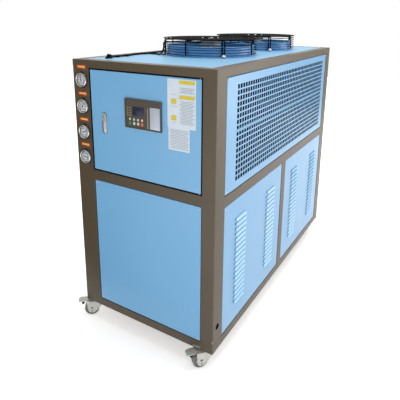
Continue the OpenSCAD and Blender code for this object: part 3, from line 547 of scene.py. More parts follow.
def punched_panel(bm, us, vs, sheet):
    """A panel over the lines us and vs, every other cell inside the folds a hole, its rim folded back."""
    rim_u, rim_v = (0, len(us) - 1), (0, len(vs) - 1)
    face = [[bm.verts.new((u, v, DOOR_FACE - (FOLD_DROP if i in rim_u or j in rim_v else 0.0)))
             for j, v in enumerate(vs)] for i, u in enumerate(us)]
    rear = [[bm.verts.new((u, v, DOOR_FACE - sheet)) for v in vs] for u in us]
    holes = {(i, j) for i in range(2, len(us) - 3, 2) for j in range(2, len(vs) - 3, 2)}
    solid = {(i, j) for i in range(len(us) - 1) for j in range(len(vs) - 1)} - holes
    for i, j in sorted(solid):
        cell = ((i, j), (i + 1, j), (i + 1, j + 1), (i, j + 1))
        bm.faces.new([face[a][b] for a, b in cell])
        bm.faces.new([rear[a][b] for a, b in cell[::-1]])
        for (di, dj), (p, q) in zip(((0, -1), (1, 0), (0, 1), (-1, 0)), zip(cell, cell[1:] + cell[:1])):
            if (i + di, j + dj) not in solid:
                bm.faces.new((face[q[0]][q[1]], face[p[0]][p[1]], rear[p[0]][p[1]], rear[q[0]][q[1]]))
    border(bm, (us[0], us[-1]), (vs[0], vs[-1]), SHEET, PANEL_BACK, DOOR_FACE - sheet)


# Side grilles: 50 by 17 square holes in each, and a folded stiffener behind the eighth and ninth rows
PITCH = 23.2
HOLE = 17.5
COLUMNS = 50
ROWS = 17
SIDE_U = 654.5
SIDE_GAP = 3.0
GRILLE_U = (-SIDE_U + SIDE_GAP, SIDE_U - SIDE_GAP)
GRILLE_V = (665.0, 1121.0)
FIRST_U = -SIDE_U + 98.0 - HOLE / 2
FIRST_V = (GRILLE_V[0] + GRILLE_V[1] - (ROWS - 1) * PITCH - HOLE) / 2
STIFF_U = (-SIDE_U + 60, SIDE_U - 60)
STIFF_V = (888.0, 902.0)
STIFF_W = (-21.0, -17.5, -16.0)


def grille(bm):
    us = [FIRST_U + i * PITCH + s for i in range(COLUMNS) for s in (0, HOLE)]
    vs = [FIRST_V + j * PITCH + s for j in range(ROWS) for s in (0, HOLE)]
    punched_panel(bm, with_folds(*GRILLE_U, us), with_folds(*GRILLE_V, vs), GRILLE_SHEET)


def stiffener(bm):
    block(bm, *STIFF_U, *STIFF_V, *STIFF_W[1:])
    for v in (STIFF_V[0], STIFF_V[1] - SHEET):
        block(bm, *STIFF_U, v, v + SHEET, *STIFF_W[:2])


# Louvre panels: two columns of pressed louvres in each, two panels on a side
LOUVRE_L = 93.0
LOUVRE_H = 15.0
LOUVRE_OUT = 9.0
LOUVRE_PITCH = 23.0
LOUVRE_Z = [127.0 + LOUVRE_PITCH * i for i in range(18)]
LOUVRE_V = (41.0, 614.0)
MOUTH_U = LOUVRE_L / 2 - 1.5
MOUTH_V = (0.5, LOUVRE_H - 2.5)
HOOD_SHEET = 1.2
STILE = 25.0
PANEL_U = ((-SIDE_U + SIDE_GAP, -STILE - SIDE_GAP), (STILE + SIDE_GAP, SIDE_U - SIDE_GAP))
COLUMN_U = 166.0
LOUVRE_U = [[(a + b) / 2 - COLUMN_U, (a + b) / 2 + COLUMN_U] for a, b in PANEL_U]


def louvre_sheets(bm):
    vs = with_folds(*LOUVRE_V, [z + s for z in LOUVRE_Z for s in MOUTH_V])
    for ends, columns in zip(PANEL_U, LOUVRE_U):
        us = with_folds(*ends, [u + s for u in columns for s in (-MOUTH_U, MOUTH_U)])
        punched_panel(bm, us, vs, SHEET)


def louvre_hood(bm):
    """One pressed flap, hinged along its top, open below and at the lower part of its ends."""
    half = LOUVRE_L / 2
    slope = ((1, 0), (0.86, 0.16), (0.2, 0.92), (0.06, 1), (0, 0.95))
    front = [(LOUVRE_H * v, LOUVRE_OUT * w) for v, w in slope]
    rear = [(max(v - HOOD_SHEET, 0.2), w - 1.4) for v, w in front]
    gusset = [*front[:2], (LOUVRE_H * 0.3, LOUVRE_OUT * 0.8), (LOUVRE_H * 0.3, -1.0), (LOUVRE_H, -1.0)]
    for outline, u0, u1 in ((front + rear[::-1], -half, half), (gusset, -half, -half + HOOD_SHEET),
                            (gusset, half - HOOD_SHEET, half)):
        capped(bm, [[bm.verts.new((u, v, w)) for v, w in outline] for u in (u0, u1)])


def louvre_painted_shade(finish, shade_colour):
    """Paints shade onto a finish along the upper part of every louvre, under the lip above."""
    tree = finish.node_tree
    place = add(tree, "ShaderNodeTexCoord").outputs["Object"]
    height = add(tree, "ShaderNodeSeparateXYZ", {0: place}).outputs[2]
    above = add(tree, "ShaderNodeMath", {0: height, 1: (CASTER + LOUVRE_Z[0]) * MM}, operation="SUBTRACT")
    step = add(tree, "ShaderNodeMath", {0: above.outputs[0], 1: LOUVRE_PITCH * MM}, operation="DIVIDE")
    part = add(tree, "ShaderNodeMath", {0: step.outputs[0]}, operation="FRACT")
    shade_mask = add(tree, "ShaderNodeMapRange", {"Value": part.outputs[0], "From Min": 0.36, "From Max": 0.46})
    shader = tree.nodes["Principled BSDF"]
    coat = shader.inputs["Base Color"].links[0].from_socket
    tint = add(tree, "ShaderNodeMix", {0: shade_mask.outputs[0], 6: coat, 7: linear(shade_colour)}, data_type="RGBA")
    feed(tree, shader, {"Base Color": tint.outputs[2]})


# Painted shade in a darker blue along the top of each louvre
louvre_painted_shade(louvre_coat, "#3f78aa")
for name, side in SIDES.items():
    piece(name + "_grille_punched", made(grille), side_coat, "panel_blue", name + "_grille", place=side,
          smooth=PANEL_SMOOTH)
    piece(name + "_louvre_sheets", made(louvre_sheets), side_coat, "panel_blue", name + "_louvre_panels",
          place=side, smooth=PANEL_SMOOTH)
    spots = [side @ at(u, z, DOOR_FACE) for pair in LOUVRE_U for u in pair for z in LOUVRE_Z]
    set_out(name + "_louvre_hoods", made(louvre_hood), spots, louvre_coat, "panel_blue",
            smooth=ROUND_SMOOTH)
    piece(name + "_grille_stiffener", made(stiffener), teal_primer, "panel_blue", place=side)

# Condenser coils: a fin pack on tubes with return bends at both ends
COIL_U = 640.5
COIL_V = (643.0, 1124.0)
COIL_W = (-55.0, -23.0)
COIL_END = COIL_U - 8
FIN_STEP = 4.0
FIN_SHEET = 0.7
FIN_WAVE = 5.0
FIN_SPANS = int((2 * COIL_U - 20) / FIN_STEP)
END_PLATE = 2.0
TUBE_R = 4.5
TUBE_ROWS = 18
TUBE_RISE = 25.0
TUBE_W = (-31.0, -47.0)
BEND_OUT = 6.0


def wavy_fin(bm):
    """One herringbone fin: two leaves that lean opposite ways, so that nothing shows straight through."""
    depth = COIL_W[1] - COIL_W[0]
    plan = [(0, 1.0), (FIN_WAVE, depth / 2), (0, depth)]
    for ends in zip(plan, plan[1:]):
        leaf = [bm.verts.new((u + across, v, w)) for v in (2, COIL_V[1] - COIL_V[0] - 2)
                for u, w in ends for across in (-FIN_SHEET / 2, FIN_SHEET / 2)]
        bmesh.ops.convex_hull(bm, input=leaf)


def coil_ends(bm):
    for end in (-COIL_END, COIL_END - END_PLATE):
        block(bm, end, end + END_PLATE, *COIL_V, *COIL_W)


tube_paths = []
front, rear = TUBE_W
for k in range(TUBE_ROWS):
    v = COIL_V[0] + (k + 1) * TUBE_RISE
    tube_paths += [[(-COIL_END, v, w), (COIL_END, v, w)] for w in TUBE_W]
    way = 1 if k % 2 else -1
    end, tip = way * COIL_END, way * (COIL_END + BEND_OUT)
    tube_paths.append(filleted([(end, v, front), (tip, v, front), (tip, v, rear), (end, v, rear)], BEND_OUT))
fins = [side @ at((i - FIN_SPANS / 2) * FIN_STEP, COIL_V[0], COIL_W[0])
        for side in SIDES.values() for i in range(FIN_SPANS + 1)]
set_out("coil_fins", made(wavy_fin), fins, fin_coat, "aluminium_fins", "condenser_coils")
for name, side in SIDES.items():
    piece(name + "_coil_end_plates", made(coil_ends), galvanised, "aluminium_fins", place=side)
for name, side in SIDES.items():
    wires(name + "_coil_tubes", tube_paths, side, TUBE_R, copper_tube, "aluminium_fins")

# Fan collars, guards, motors and rotors
COLLAR = ([(208, -60), (211, -60), (211, 0), (218, 0), (218, 1.9), (217.4, 2.5), (213, 2.5), (211.6, 3.2),
           (211, 5), (211, 40)] + arc_points((209.5, 43), 3, -60, 240, 10) + [(208, 40)])
FLANGE_SCREW_R = 215.2
FLANGE_TOP = 2.5
GUARD_R = 225.0
GUARD_H = 80.0
RING_R = 1.4
TOP_RING_R = 2.3
RIB_R = 3.0
TOP_Z = GUARD_H - TOP_RING_R
RIB_Z = TOP_Z - TOP_RING_R - RIB_R + 0.6
RIB_RADIUS = GUARD_R - RING_R - RIB_R + 0.6
RIB_FOOT = RIB_R + 0.2
HUB_R = 55.0
TOP_RING_START = 60.0
SIDE_RINGS = 6
SIDE_STEP = (GUARD_H - 12) / SIDE_RINGS
RING_LOW = 9.5
FOOT_R = 238.0
BOLT_R = 230.5
HUB_BOLT_R = 38.0
PAIR = 6.0
GUARD_HUB = [(0, 72), (HUB_R - 1, 72), (HUB_R, 72.8), (HUB_R, 74.4), (HUB_R - 1, 75), (0, 75)]


def guard_legs():
    """Twin wires from the hub, over the shoulder, down to a loop that a bolt holds, and back."""
    angles = [math.radians(a) for a in range(0, 181, 20)]
    foot = [(PAIR * math.cos(a), -FOOT_R + PAIR - PAIR * math.sin(a), RIB_FOOT) for a in angles]
    down = [(PAIR, -HUB_R + 8, RIB_Z), (PAIR, -RIB_RADIUS, RIB_Z), (PAIR, -RIB_RADIUS, RIB_FOOT), foot[0]]
    one = filleted(down, 7, 5)
    other = [(-x, y, z) for x, y, z in one[::-1]]
    return [turned(one + foot[1:-1] + other, 45 + 90 * k) for k in range(4)]


def guard_ribs():
    """Single wires between the legs."""
    rib = filleted([(0, -HUB_R + 8, RIB_Z), (0, -RIB_RADIUS, RIB_Z), (0, -RIB_RADIUS, 8)], 7, 5)
    return [turned(rib, 90 * k) for k in range(4)]


def bolt_head(bm):
    """Hexagon bolt on a washer."""
    lathe(bm, [(0, 0), (7, 0), (7, 1.1), (6.6, 1.4), (0, 1.4)], turns=16)
    lathe(bm, [(0, 1.2), (5.2, 1.2), (5.2, 4.8), (4.6, 5.6), (0, 5.6)], turns=6)


BLADES = 5
BLADE_ROOT = 64.0
BLADE_TIP = 201.0
# Steps along a blade and across it
STATIONS = 7
SAMPLES = 8
ROTOR_TOP = 32.0
ROTOR_LOW = -48.0
ROTOR_CAN = ([(6.2, ROTOR_LOW), (60, ROTOR_LOW)] + arc_points((60, ROTOR_LOW + 8), 8, -90, 0, 4)
             + [(68, -26), (66.8, -24), (66.8, 8), (68, 10)] + arc_points((62, ROTOR_TOP - 6), 6, 0, 90, 4)
             + [(30, ROTOR_TOP), (28, ROTOR_TOP - 3), (6.2, ROTOR_TOP - 3)])


def blade_point(blade, side, t, s):
    """A blade's point: t runs from root to tip, s across the chord, and side is the camber line's side."""
    radius = BLADE_ROOT + (BLADE_TIP - BLADE_ROOT) * t
    chord = 96 + 44 * math.sin(t * 2.1) - 26 * t ** 6
    pitch = math.radians(33 - 12 * t)
    lean = 26 * t * t
    camber = chord * 0.07 * (1 - 4 * s * s)
    thick = 2.6 * (1 - 1.6 * s * s)
    along = s * chord
    off = camber + side * thick
    angle = (along * math.cos(pitch) - off * math.sin(pitch) + lean) / radius + blade * math.tau / BLADES
    z = along * math.sin(pitch) + off * math.cos(pitch) - 10
    return radius * math.cos(angle), radius * math.sin(angle), z


def fan_rotor(bm):
    """The rotor's can with cambered sickle blades about its axis."""
    lathe(bm, ROTOR_CAN, turns=56, closed=True)
    for blade in range(BLADES):
        top, low = ([[bm.verts.new(blade_point(blade, side, i / STATIONS, j / SAMPLES - 0.5))
                      for j in range(SAMPLES + 1)] for i in range(STATIONS + 1)] for side in (0.5, -0.5))
        for i in range(STATIONS):
            for j in range(SAMPLES):
                bm.faces.new((top[i][j], top[i + 1][j], top[i + 1][j + 1], top[i][j + 1]))
                bm.faces.new((low[i][j], low[i][j + 1], low[i + 1][j + 1], low[i + 1][j]))
        edge = ([(i, 0) for i in range(STATIONS)] + [(STATIONS, j) for j in range(SAMPLES)]
                + [(i, SAMPLES) for i in range(STATIONS, 0, -1)] + [(0, j) for j in range(SAMPLES, 0, -1)])
        bridge(bm, [[grid[i][j] for i, j in edge] for grid in (top, low)])


def around(place, degrees, radius, w, turn=0.0):
    """A place at that radius about a fan's axis."""
    return place @ rotation(degrees) @ at(0, -radius, w, turn)


MOTOR_RIBS = [p for z in (68, 62, 56, 50)
              for p in ((50, z + 1.6), (50, z - 1.2), (46.5, z - 2), (46.5, z - 3.6))]
MOTOR = [(0, 72), (48, 72), *MOTOR_RIBS, (50, 44), (50, 41), (47, 38), (6, 38), (6, -48), (10, -48.2),
         (10, -52), (0, -52)]
side_rings = [circle(GUARD_R, RING_LOW + i * SIDE_STEP) for i in range(SIDE_RINGS)]
top_rings = [circle(TOP_RING_START + i * (GUARD_R - TOP_RING_START) / 9, TOP_Z) for i in range(10)]
flange_screws = []
guard_bolts = []
for name, place in FANS.items():
    piece(name + "_collar_spun", made(lathe, COLLAR, turns=96, closed=True), collar_coat, "collar_blue",
          name + "_fan_collar", place=place)
    wires(name + "_guard_rings", side_rings, place, RING_R, wire_coat, "black_wire", name + "_fan_guard")
    wires(name + "_guard_top_rings", top_rings, place, TOP_RING_R, wire_coat, "black_wire")
    wires(name + "_guard_ribs", guard_legs() + guard_ribs(), place, RIB_R, wire_coat, "black_wire")
    piece(name + "_guard_hub", made(lathe, GUARD_HUB), wire_coat, "black_wire", place=place)
    piece(name + "_motor_cast", made(lathe, MOTOR), motor_paint, "dark_metal", name + "_fan_motor",
          place=place)
    piece(name + "_rotor_bladed", made(fan_rotor), blade_paint, "dark_metal", name + "_fan_rotor",
          body=name + "_rotor", place=place)
    guard_bolts += [(around(place, 45 + 90 * k, BOLT_R, 4.6), (1.6, 1.6, 1.4)) for k in range(4)]
    guard_bolts += [around(place, 20 + 90 * k, HUB_BOLT_R, 74.2) for k in range(4)]
    flange_screws += [(around(place, 22.5 + 45 * k, FLANGE_SCREW_R, FLANGE_TOP, 30 * k), (0.6, 0.6, 0.6))
                      for k in range(8)]
set_out("guard_bolts", made(bolt_head), guard_bolts, bolt_zinc, "zinc")

# Leads from the gland to the fan motors, on the same route as their solids
LEAD_R = 3.7
LEAD_Z = LEAD_R + 0.3
LEAD_TOP = RING_LOW + 4.5 * SIDE_STEP
LEAD_SIDE = 17.0
LEAD_OFF = LEAD_R + 3.0
GLAND = [(0, 0), (17, 0), (17, 2.2), (15.8, 3), (14, 3), (13, 8), (0, 8)]
FROM_GLAND = ((104, -4), (104, 15), (140, 6), (180, LEAD_Z), (228, LEAD_Z), (330, LEAD_Z))
UP_THE_GUARD = ((GUARD_R + 24, LEAD_Z), (GUARD_R + LEAD_OFF + 2, 30), (GUARD_R + LEAD_OFF, LEAD_TOP - 6),
                (GUARD_R, LEAD_TOP), (GUARD_R - 25, LEAD_TOP), (GUARD_R - 80, LEAD_TOP), (50, LEAD_TOP))
SADDLES = ((99, 165, 10), (103, 228, 0), (86, 318, 8), (92, 560, 0), (91, 740, 0))


def lead_curve(points, steps=8):
    """The smooth curve through the points."""
    path = []
    last = len(points) - 1
    for k in range(steps * last + 1):
        i = min(k // steps, last - 1)
        u = k / steps - i
        a, b, c, d = (Vector(points[min(max(i + o, 0), last)]) for o in (-1, 0, 1, 2))
        p = 0.5 * (2 * b + (c - a) * u + (2 * a - 5 * b + 4 * c - d) * u * u
                   + (3 * b - a - 3 * c + d) * u ** 3)
        if k > steps * 1.5:
            p.z = max(p.z, LEAD_Z)
        path.append(p)
    return path


def from_corner(u, v, w):
    return (u - WIDTH / 2, v - DEPTH / 2, w)


def leg_point(y, radius, w):
    """A place beside the guard's front left leg."""
    return ((LEAD_SIDE - radius) * math.sqrt(0.5), y - (LEAD_SIDE + radius) * math.sqrt(0.5), w)


curves = []
for y, first, then in ((FAN_Y[0], (116, 116, 102, 99, 108, 90), ((122, 384),)),
                       (FAN_Y[1], (106, 106, 92, 88, 97, 79), ((90, 420), (92, 580), (90, 760), (122, 908)))):
    route = [from_corner(u, v, w) for u, (v, w) in zip(first, FROM_GLAND)]
    route += [from_corner(u, v, LEAD_Z) for u, v in then]
    curves.append(lead_curve(route + [leg_point(y, r, w) for r, w in UP_THE_GUARD]))
wires("fan_lead_sheaths", curves, ROOF, LEAD_R, sheath_black, "black_rubber", "fan_leads", sides=12)
piece("lead_gland_turned", made(lathe, GLAND, at(*from_corner(111, 104, 0)), 24), sheath_black,
      "black_rubber", "lead_gland", place=ROOF)
# Saddles that hold both leads down on the roof
bm = bmesh.new()
for u, v, turn in SADDLES:
    plate(bm, rounded_rect(28, 12, 3), 0, 8.6, 1.5, at(*from_corner(u, v, 0), turn))
piece("lead_saddles", bm, sheath_black, "black_rubber", place=ROOF)

# Paint chipped off the front right corner, low down
CORNER_R = 4.0
CHIP_R = CORNER_R + 0.04
corner = Matrix.Translation((WIDTH / 2 - CORNER_R, CORNER_R - DEPTH / 2, CASTER))
bm = bmesh.new()
rows = [[bm.verts.new(corner @ turned([(CHIP_R, 0, z)], a)[0]) for a in (-80, -60, -40, -20)]
        for z in (52, 54, 57, 60, 62)]
rows[0][0].co.z += 3
rows[-1][3].co.z -= 3
for low, high in zip(rows, rows[1:]):
    for k in range(3):
        bm.faces.new((low[k], low[k + 1], high[k + 1], high[k]))
piece("corner_chip", bm, bare_steel, "frame_paint", place=TO_METRES)

# Coat rubbed pale along the lower edge of the front rail
FILM = 0.08
SCUFF = [(249, 2), (262, 1), (284, 3), (295, 8), (293, 17), (277, 15), (258, 11)]
piece("rail_scuff", made(plate, eased(SCUFF, 5, 3), 0, FILM), rubbed_coat, "frame_paint", place=FRONT)

# Dark seams where the grille panels' folded edges meet at the corners
SEAM_IN = 8.0
seams = [side @ at(su * (GRILLE_U[1] - SEAM_IN), v + sv * SEAM_IN, DOOR_FACE, 45 * su * sv)
         for side in SIDES.values() for su in (-1, 1) for v, sv in zip(GRILLE_V, (1, -1))]
set_out("grille_corner_seams", made(block, -0.8, 0.8, -9, 9, 0, FILM), seams, black_ink, "panel_blue")

# Dial gauges on the wide post, each under a bare plate
ALONG_V = rotation(-90, "X")
GAUGE_U = 52 - WIDTH / 2
GAUGE_V = [735 + 112.5 * i for i in range(4)]
GAUGE_CASE = [(7, -56), (7, -36), (29, -36), (30, -35), (30, 1.2), (32.6, 1.2), (32.6, 2.4), (32, 4),
              (30.8, 5.8), (29.4, 7.4), (28.2, 8.2), (27, 8.2), (27, 4.5), (6, 4.5), (6, -56)]
BEZEL_RING = [(24.9, 4.6), (27.4, 4.6), (28.8, 7.8), (28, 8.6), (26.8, 9), (25.6, 8.4), (24.9, 7)]
NEEDLE = [(-2, -8), (2, -8), (1.8, 4), (0.8, 19), (-0.8, 19), (-1.8, 4)]
DIAL_R = 24.9
DIAL_W = 5.6
INK = 0.12
TICKS = 31
PLATE_RISE = 55.0
cases, bezels, dials, glasses, needles, grounds, fields = (bmesh.new() for _ in range(7))
ticks = []
for i, v in enumerate(GAUGE_V):
    spot = at(GAUGE_U, v)
    lathe(cases, GAUGE_CASE, spot, 56, closed=True)
    lathe(bezels, BEZEL_RING, spot, 56, closed=True)
    lathe(dials, [(0, 4.4), (DIAL_R, 4.4), (DIAL_R, DIAL_W), (0, DIAL_W)], spot, 40)
    lathe(glasses, [(0, 7.4), (25.1, 7.2), (25.1, 7.6), (0, 8.2)], spot, 40)
    hand = spot @ at(0, 0, DIAL_W + 0.3, -105 + 38 * i)
    plate(needles, NEEDLE, 0, 0.5, place=hand)
    lathe(needles, [(0, 0), (3, 0), (3, 1.2), (2.2, 1.6), (0, 1.6)], hand, 16)
    # A black ring under each case's foot: a flange, made black as a painted shadow round the gauge
    lathe(needles, [(30, 0), (34, 0), (34, 1.2), (33.4, 1.6), (30, 1.6)], spot, 56, closed=True)
    # Black bands on the dial: the inner one is print; the one at the rim is painted shade, for the gap under
    # the bezel
    for near, far in ((13.2, 15.4), (21.6, DIAL_R)):
        band = [(near, DIAL_W), (far, DIAL_W), (far, DIAL_W + INK), (near, DIAL_W + INK)]
        lathe(needles, band, spot, 40, closed=True)
    lathe(needles, [(0, 0), (2.6, 0), (2.6, 3), (1.8, 4), (0, 4)], at(GAUGE_U, v + 33.6, 4) @ ALONG_V, 14)
    for k in range(TICKS):
        long = k % 5 == 0
        mark = FRONT @ spot @ at(0, 0, DIAL_W, 135 - 9 * k) @ at(0, 18.6 if long else 19.8)
        ticks.append((mark, (2, 5, 1) if long else (0.8, 2.8, 1)))
    plate(grounds, rounded_rect(54, 19, 1.5, GAUGE_U, v + PLATE_RISE), 0, 0.8, 0.2)
    plate(fields, rounded_rect(41, 8, 1, GAUGE_U, v + PLATE_RISE + 0.5), 0.7, 1.0, 0.05)
piece("gauge_cases", cases, case_steel, "gauge_case", "pressure_gauges", place=FRONT)
piece("gauge_bezels", bezels, chrome_plate, "gauge_case", place=FRONT)
piece("gauge_dials", dials, dial_print, "gauge_case", place=FRONT)
piece("gauge_glasses", glasses, dial_glass, "gauge_case", place=FRONT)
piece("gauge_needles", needles, black_ink, "gauge_case", place=FRONT)
set_out("gauge_marks", made(block, -0.5, 0.5, -0.5, 0.5, 0, INK), ticks, black_ink, "gauge_case")
piece("gauge_plate_grounds", grounds, plate_red, "label_orange", "gauge_plates", place=FRONT)
piece("gauge_plate_fields", fields, plate_orange, "label_orange", place=FRONT)

# Controller on the door: bezel, case, and the fields on its face as (u, v, width, height, corner)
CTRL_U, CTRL_V = 22.0, 958.0
CTRL_TOP = 6.0
FACE = 4.4
BEZEL_U, BEZEL_V = 24.5, 960.5
BEZEL_W, BEZEL_H = 179.0, 119.0
KEY_U = (-61, -40, -20, 0)
KEY_V = -36
CTRL_FIELDS = (
    ("display", display_tint, 0.5, 0.2, [(-19, 14, 57, 36, 1.5)]),
    ("inlay", inlay_silver, 0.35, 0.1, [(62, -7, 47, 86, 1)]),
    ("divider", divider_grey, 0.6, 0.2, [(28, -9, 4, 82, 1)]),
    ("pale_keys", key_pale, 0.8, 0.3, [(u, -20, 8, 9, 1.5) for u in KEY_U] + [(KEY_U[2], KEY_V, 10, 11, 2)]),
    ("start_key", key_green, 0.8, 0.3, [(KEY_U[0], KEY_V, 13, 13, 2)]),
    ("mint_key", key_mint, 0.8, 0.3, [(KEY_U[1], KEY_V, 10, 11, 2)]),
    ("stop_key", key_red, 0.8, 0.3, [(KEY_U[3], KEY_V, 13, 13, 2)]),
    ("lamps", lamp_amber, 0.7, 0.3, [(u, 26 - 10 * k, 8, 3, 1) for k in range(4) for u in (-72, -58)]),
)
outer = rounded_rect(BEZEL_W, BEZEL_H, 2, BEZEL_U, BEZEL_V)
rim = rounded_rect(BEZEL_W - 9, BEZEL_H - 9, 1.5, BEZEL_U, BEZEL_V)
bm = bmesh.new()
bridge(bm, [ring(bm, outline, w) for outline, w in (
    (outer, DOOR_FACE), (outer, 4.6), (inset(outer, 0.5), 5.5), (inset(outer, 1.4), CTRL_TOP),
    (rim, CTRL_TOP), (inset(rim, 0.7), 4.2), (inset(rim, 0.7), DOOR_FACE))], closed=True)
piece("controller_bezel", bm, frame_brown, "controller_brown", "controller", body="door", place=FRONT)
bm = made(plate, rounded_rect(BEZEL_W - 10, BEZEL_H - 10, 2, BEZEL_U, BEZEL_V), 2.0, FACE)
block(bm, CTRL_U - 82, CTRL_U + 82, CTRL_V - 52, CTRL_V + 52, -53, 2.0)
piece("controller_case", bm, case_brown, "controller_brown", body="door", place=FRONT)
for name, finish, rise, soft, outlines in CTRL_FIELDS:
    bm = bmesh.new()
    for u, v, w, h, r in outlines:
        plate(bm, rounded_rect(w, h, r, CTRL_U + u, CTRL_V + v, 3), FACE - 0.2, FACE + rise, soft)
    piece("controller_" + name, bm, finish, "controller_brown", body="door", place=FRONT)
rules = [(FRONT @ at(CTRL_U + 62, CTRL_V + 28 - 8 * k, FACE + 0.35), (40, 1.1, 1)) for k in range(9)]
set_out("controller_inlay_rules", made(block, -0.5, 0.5, -0.5, 0.5, 0, 0.1), rules, card_grey,
        "controller_brown", body="door")

# Flush latch: the case rides on the door and the paddle on its own pivot
LATCH_U, LATCH_V = -182.0, 900.0
LATCH_TOP = 3.0
outer = rounded_rect(24, 90, 9, LATCH_U, LATCH_V)
well = rounded_rect(18, 54, 6, LATCH_U, LATCH_V - 15)
bm = made(plate, outer, DOOR_FACE, 0.4, 0.2)
bridge(bm, [ring(bm, outline, w) for outline, w in (
    (outer, 0.3), (inset(outer, 0.6), 2.4), (inset(outer, 1.4), LATCH_TOP), (well, LATCH_TOP), (well, 0.3))])
lathe(bm, [(0, 3.0), (7.5, 3.0), (7.5, 3.6), (7, 4.0), (0, 4.0)], at(LATCH_U, LATCH_V + 30), 28)
block(bm, LATCH_U - 8, LATCH_U + 8, LATCH_V - 41, LATCH_V + 41, -24, DOOR_FACE)
piece("latch_body", bm, satin_nickel, "chrome_trim", "latch_case", body="door", place=FRONT)
bm = made(block, LATCH_U - 1.2, LATCH_U + 1.2, LATCH_V + 25.5, LATCH_V + 34.5, 3.9, 4.06)
plate(bm, rounded_rect(26, 92, 10, LATCH_U, LATCH_V), DOOR_FACE, -0.2)
plate(bm, rounded_rect(17.8, 44, 6, LATCH_U, LATCH_V - 19.8), 0.3, 0.5)
piece("latch_keyway", bm, black_ink, "chrome_trim", body="door", place=FRONT)
bm = made(plate, rounded_rect(15, 50, 5, LATCH_U, LATCH_V - 15.5), 0.6, 3.2, 0.5)
piece("latch_paddle_polished", bm, satin_nickel, "chrome_trim", "latch_paddle", body="latch", place=FRONT)

# Black rubber edging round the door, a black strip on its seat and a black trim on the opening's edge: partly
# real rubber, partly painted shade that keeps the gap dark
DOOR_U = (-250.0, 288.0)
DOOR_V = (688.0, 1119.0)
DOOR_GAP = 5.0
EDGING = 1.2
TRIM = 1.6


def round_door(bm, out, width, w0, w1):
    """A border whose outer edges are that far outside the door's."""
    border(bm, (DOOR_U[0] - out, DOOR_U[1] + out), (DOOR_V[0] - out, DOOR_V[1] + out), width, w0, w1)


piece("door_edging", made(round_door, EDGING, EDGING, -10, -1.4), sheath_black, "black_rubber", body="door",
      place=FRONT)
# Black strips in and behind the door gap: painted shade
bm = made(round_door, DOOR_GAP, 14, -20, -19)
round_door(bm, DOOR_GAP + TRIM, TRIM, -0.2, 0.3)
round_door(bm, DOOR_GAP, 0.7, -9, 0.3)
piece("door_seal", bm, sheath_black, "black_rubber", place=FRONT)

# Switchgear on the plate at the back of the control box
BACK = -249.0
RAIL = BACK + 9
RAIL_V = (1005.0, 850.0)
DUCT_V = (1080.0, 927.0, 772.0)
BOX_U = 19.0
BREAKER_U = [BOX_U - 215 + 18 * k for k in range(11)]
TERMINAL_U = [BOX_U - 20 + 9 * k for k in range(26)]


def tiers(*levels):
    """Blocks with round corners one on the other, as (width, height, corner, from, to, soft)."""
    bm = bmesh.new()
    for w, h, r, w0, w1, soft in levels:
        plate(bm, rounded_rect(w, h, r, steps=2), w0, w1, soft)
    return bm


def on_rail(row, us, rise=0.0):
    return [FRONT @ at(u, RAIL_V[row] + rise, RAIL) for u in us]


bm = made(plate, rounded_rect(500, 400, 4, BOX_U, 903), BACK, BACK + 2, 0.4)
for v in RAIL_V:
    block(bm, BOX_U - 232, BOX_U + 232, v - 17.5, v + 17.5, BACK + 2, RAIL)
piece("switchgear_plate", bm, galvanised, "zinc", place=FRONT)
bm = bmesh.new()
for v in DUCT_V:
    plate(bm, rounded_rect(470, 36, 2, BOX_U, v), BACK + 2, BACK + 46, 1)
piece("wiring_ducts", bm, switch_grey, "zinc", place=FRONT)
slots = [FRONT @ at(BOX_U - 222 + 12 * k, v + s, BACK + 23)
         for v in DUCT_V for s in (-18, 18) for k in range(38)]
set_out("duct_slots", made(block, -2.5, 2.5, -0.2, 0.2, -15, 15), slots, switch_dark, "zinc")
breaker = tiers((17.4, 80, 1.5, 0, 46, 1), (17.4, 45, 1.5, 45, 66, 1))
set_out("breakers", breaker, on_rail(0, BREAKER_U), switch_grey, "zinc")
set_out("breaker_toggles", tiers((9, 14, 1.5, 65, 72, 1)), on_rail(0, BREAKER_U, 3), switch_dark, "zinc")
contactor = tiers((44, 84, 3, 0, 52, 1.5), (42, 46, 3, 50, 78, 1.5), (20, 12, 2, 77, 80, 0.6))
gear = on_rail(0, [BOX_U + 45 + 50 * k for k in range(4)])
gear += on_rail(1, [BOX_U - 200 + 50 * k for k in range(3)])
set_out("contactors", contactor, gear, switch_dark, "zinc")
terminal = tiers((8.4, 52, 1, 0, 34, 0.8), (8.4, 26, 1, 33, 42, 0.8))
set_out("terminals", terminal, on_rail(1, TERMINAL_U), switch_grey, "zinc")
runs = []
for us, rail, bends in ((BREAKER_U, RAIL_V[0], ((36, 44), (46, 46), (60, 22))),
                        (TERMINAL_U, RAIL_V[1], ((22, 32), (32, 36), (60, 18)))):
    runs += [filleted([(u, rail + s * rise, RAIL + out) for rise, out in bends], 8)
             for u in us for s in (-1, 1)]
wires("switchgear_wires", runs, FRONT, 1.6, sheath_black, "black_rubber", sides=6)

# Blank service cards on the door, ruled and with plain header bars
LARGE_U, SMALL_U = 202.5, 191.0
PRINT_U, PATCH_U = 226.5, 168.0
CARD_W = DOOR_FACE + 0.4
LINE = 5.5


def bar(u, v, width, height, w=CARD_W):
    return FRONT @ at(u, v, w), (width, height, 1)


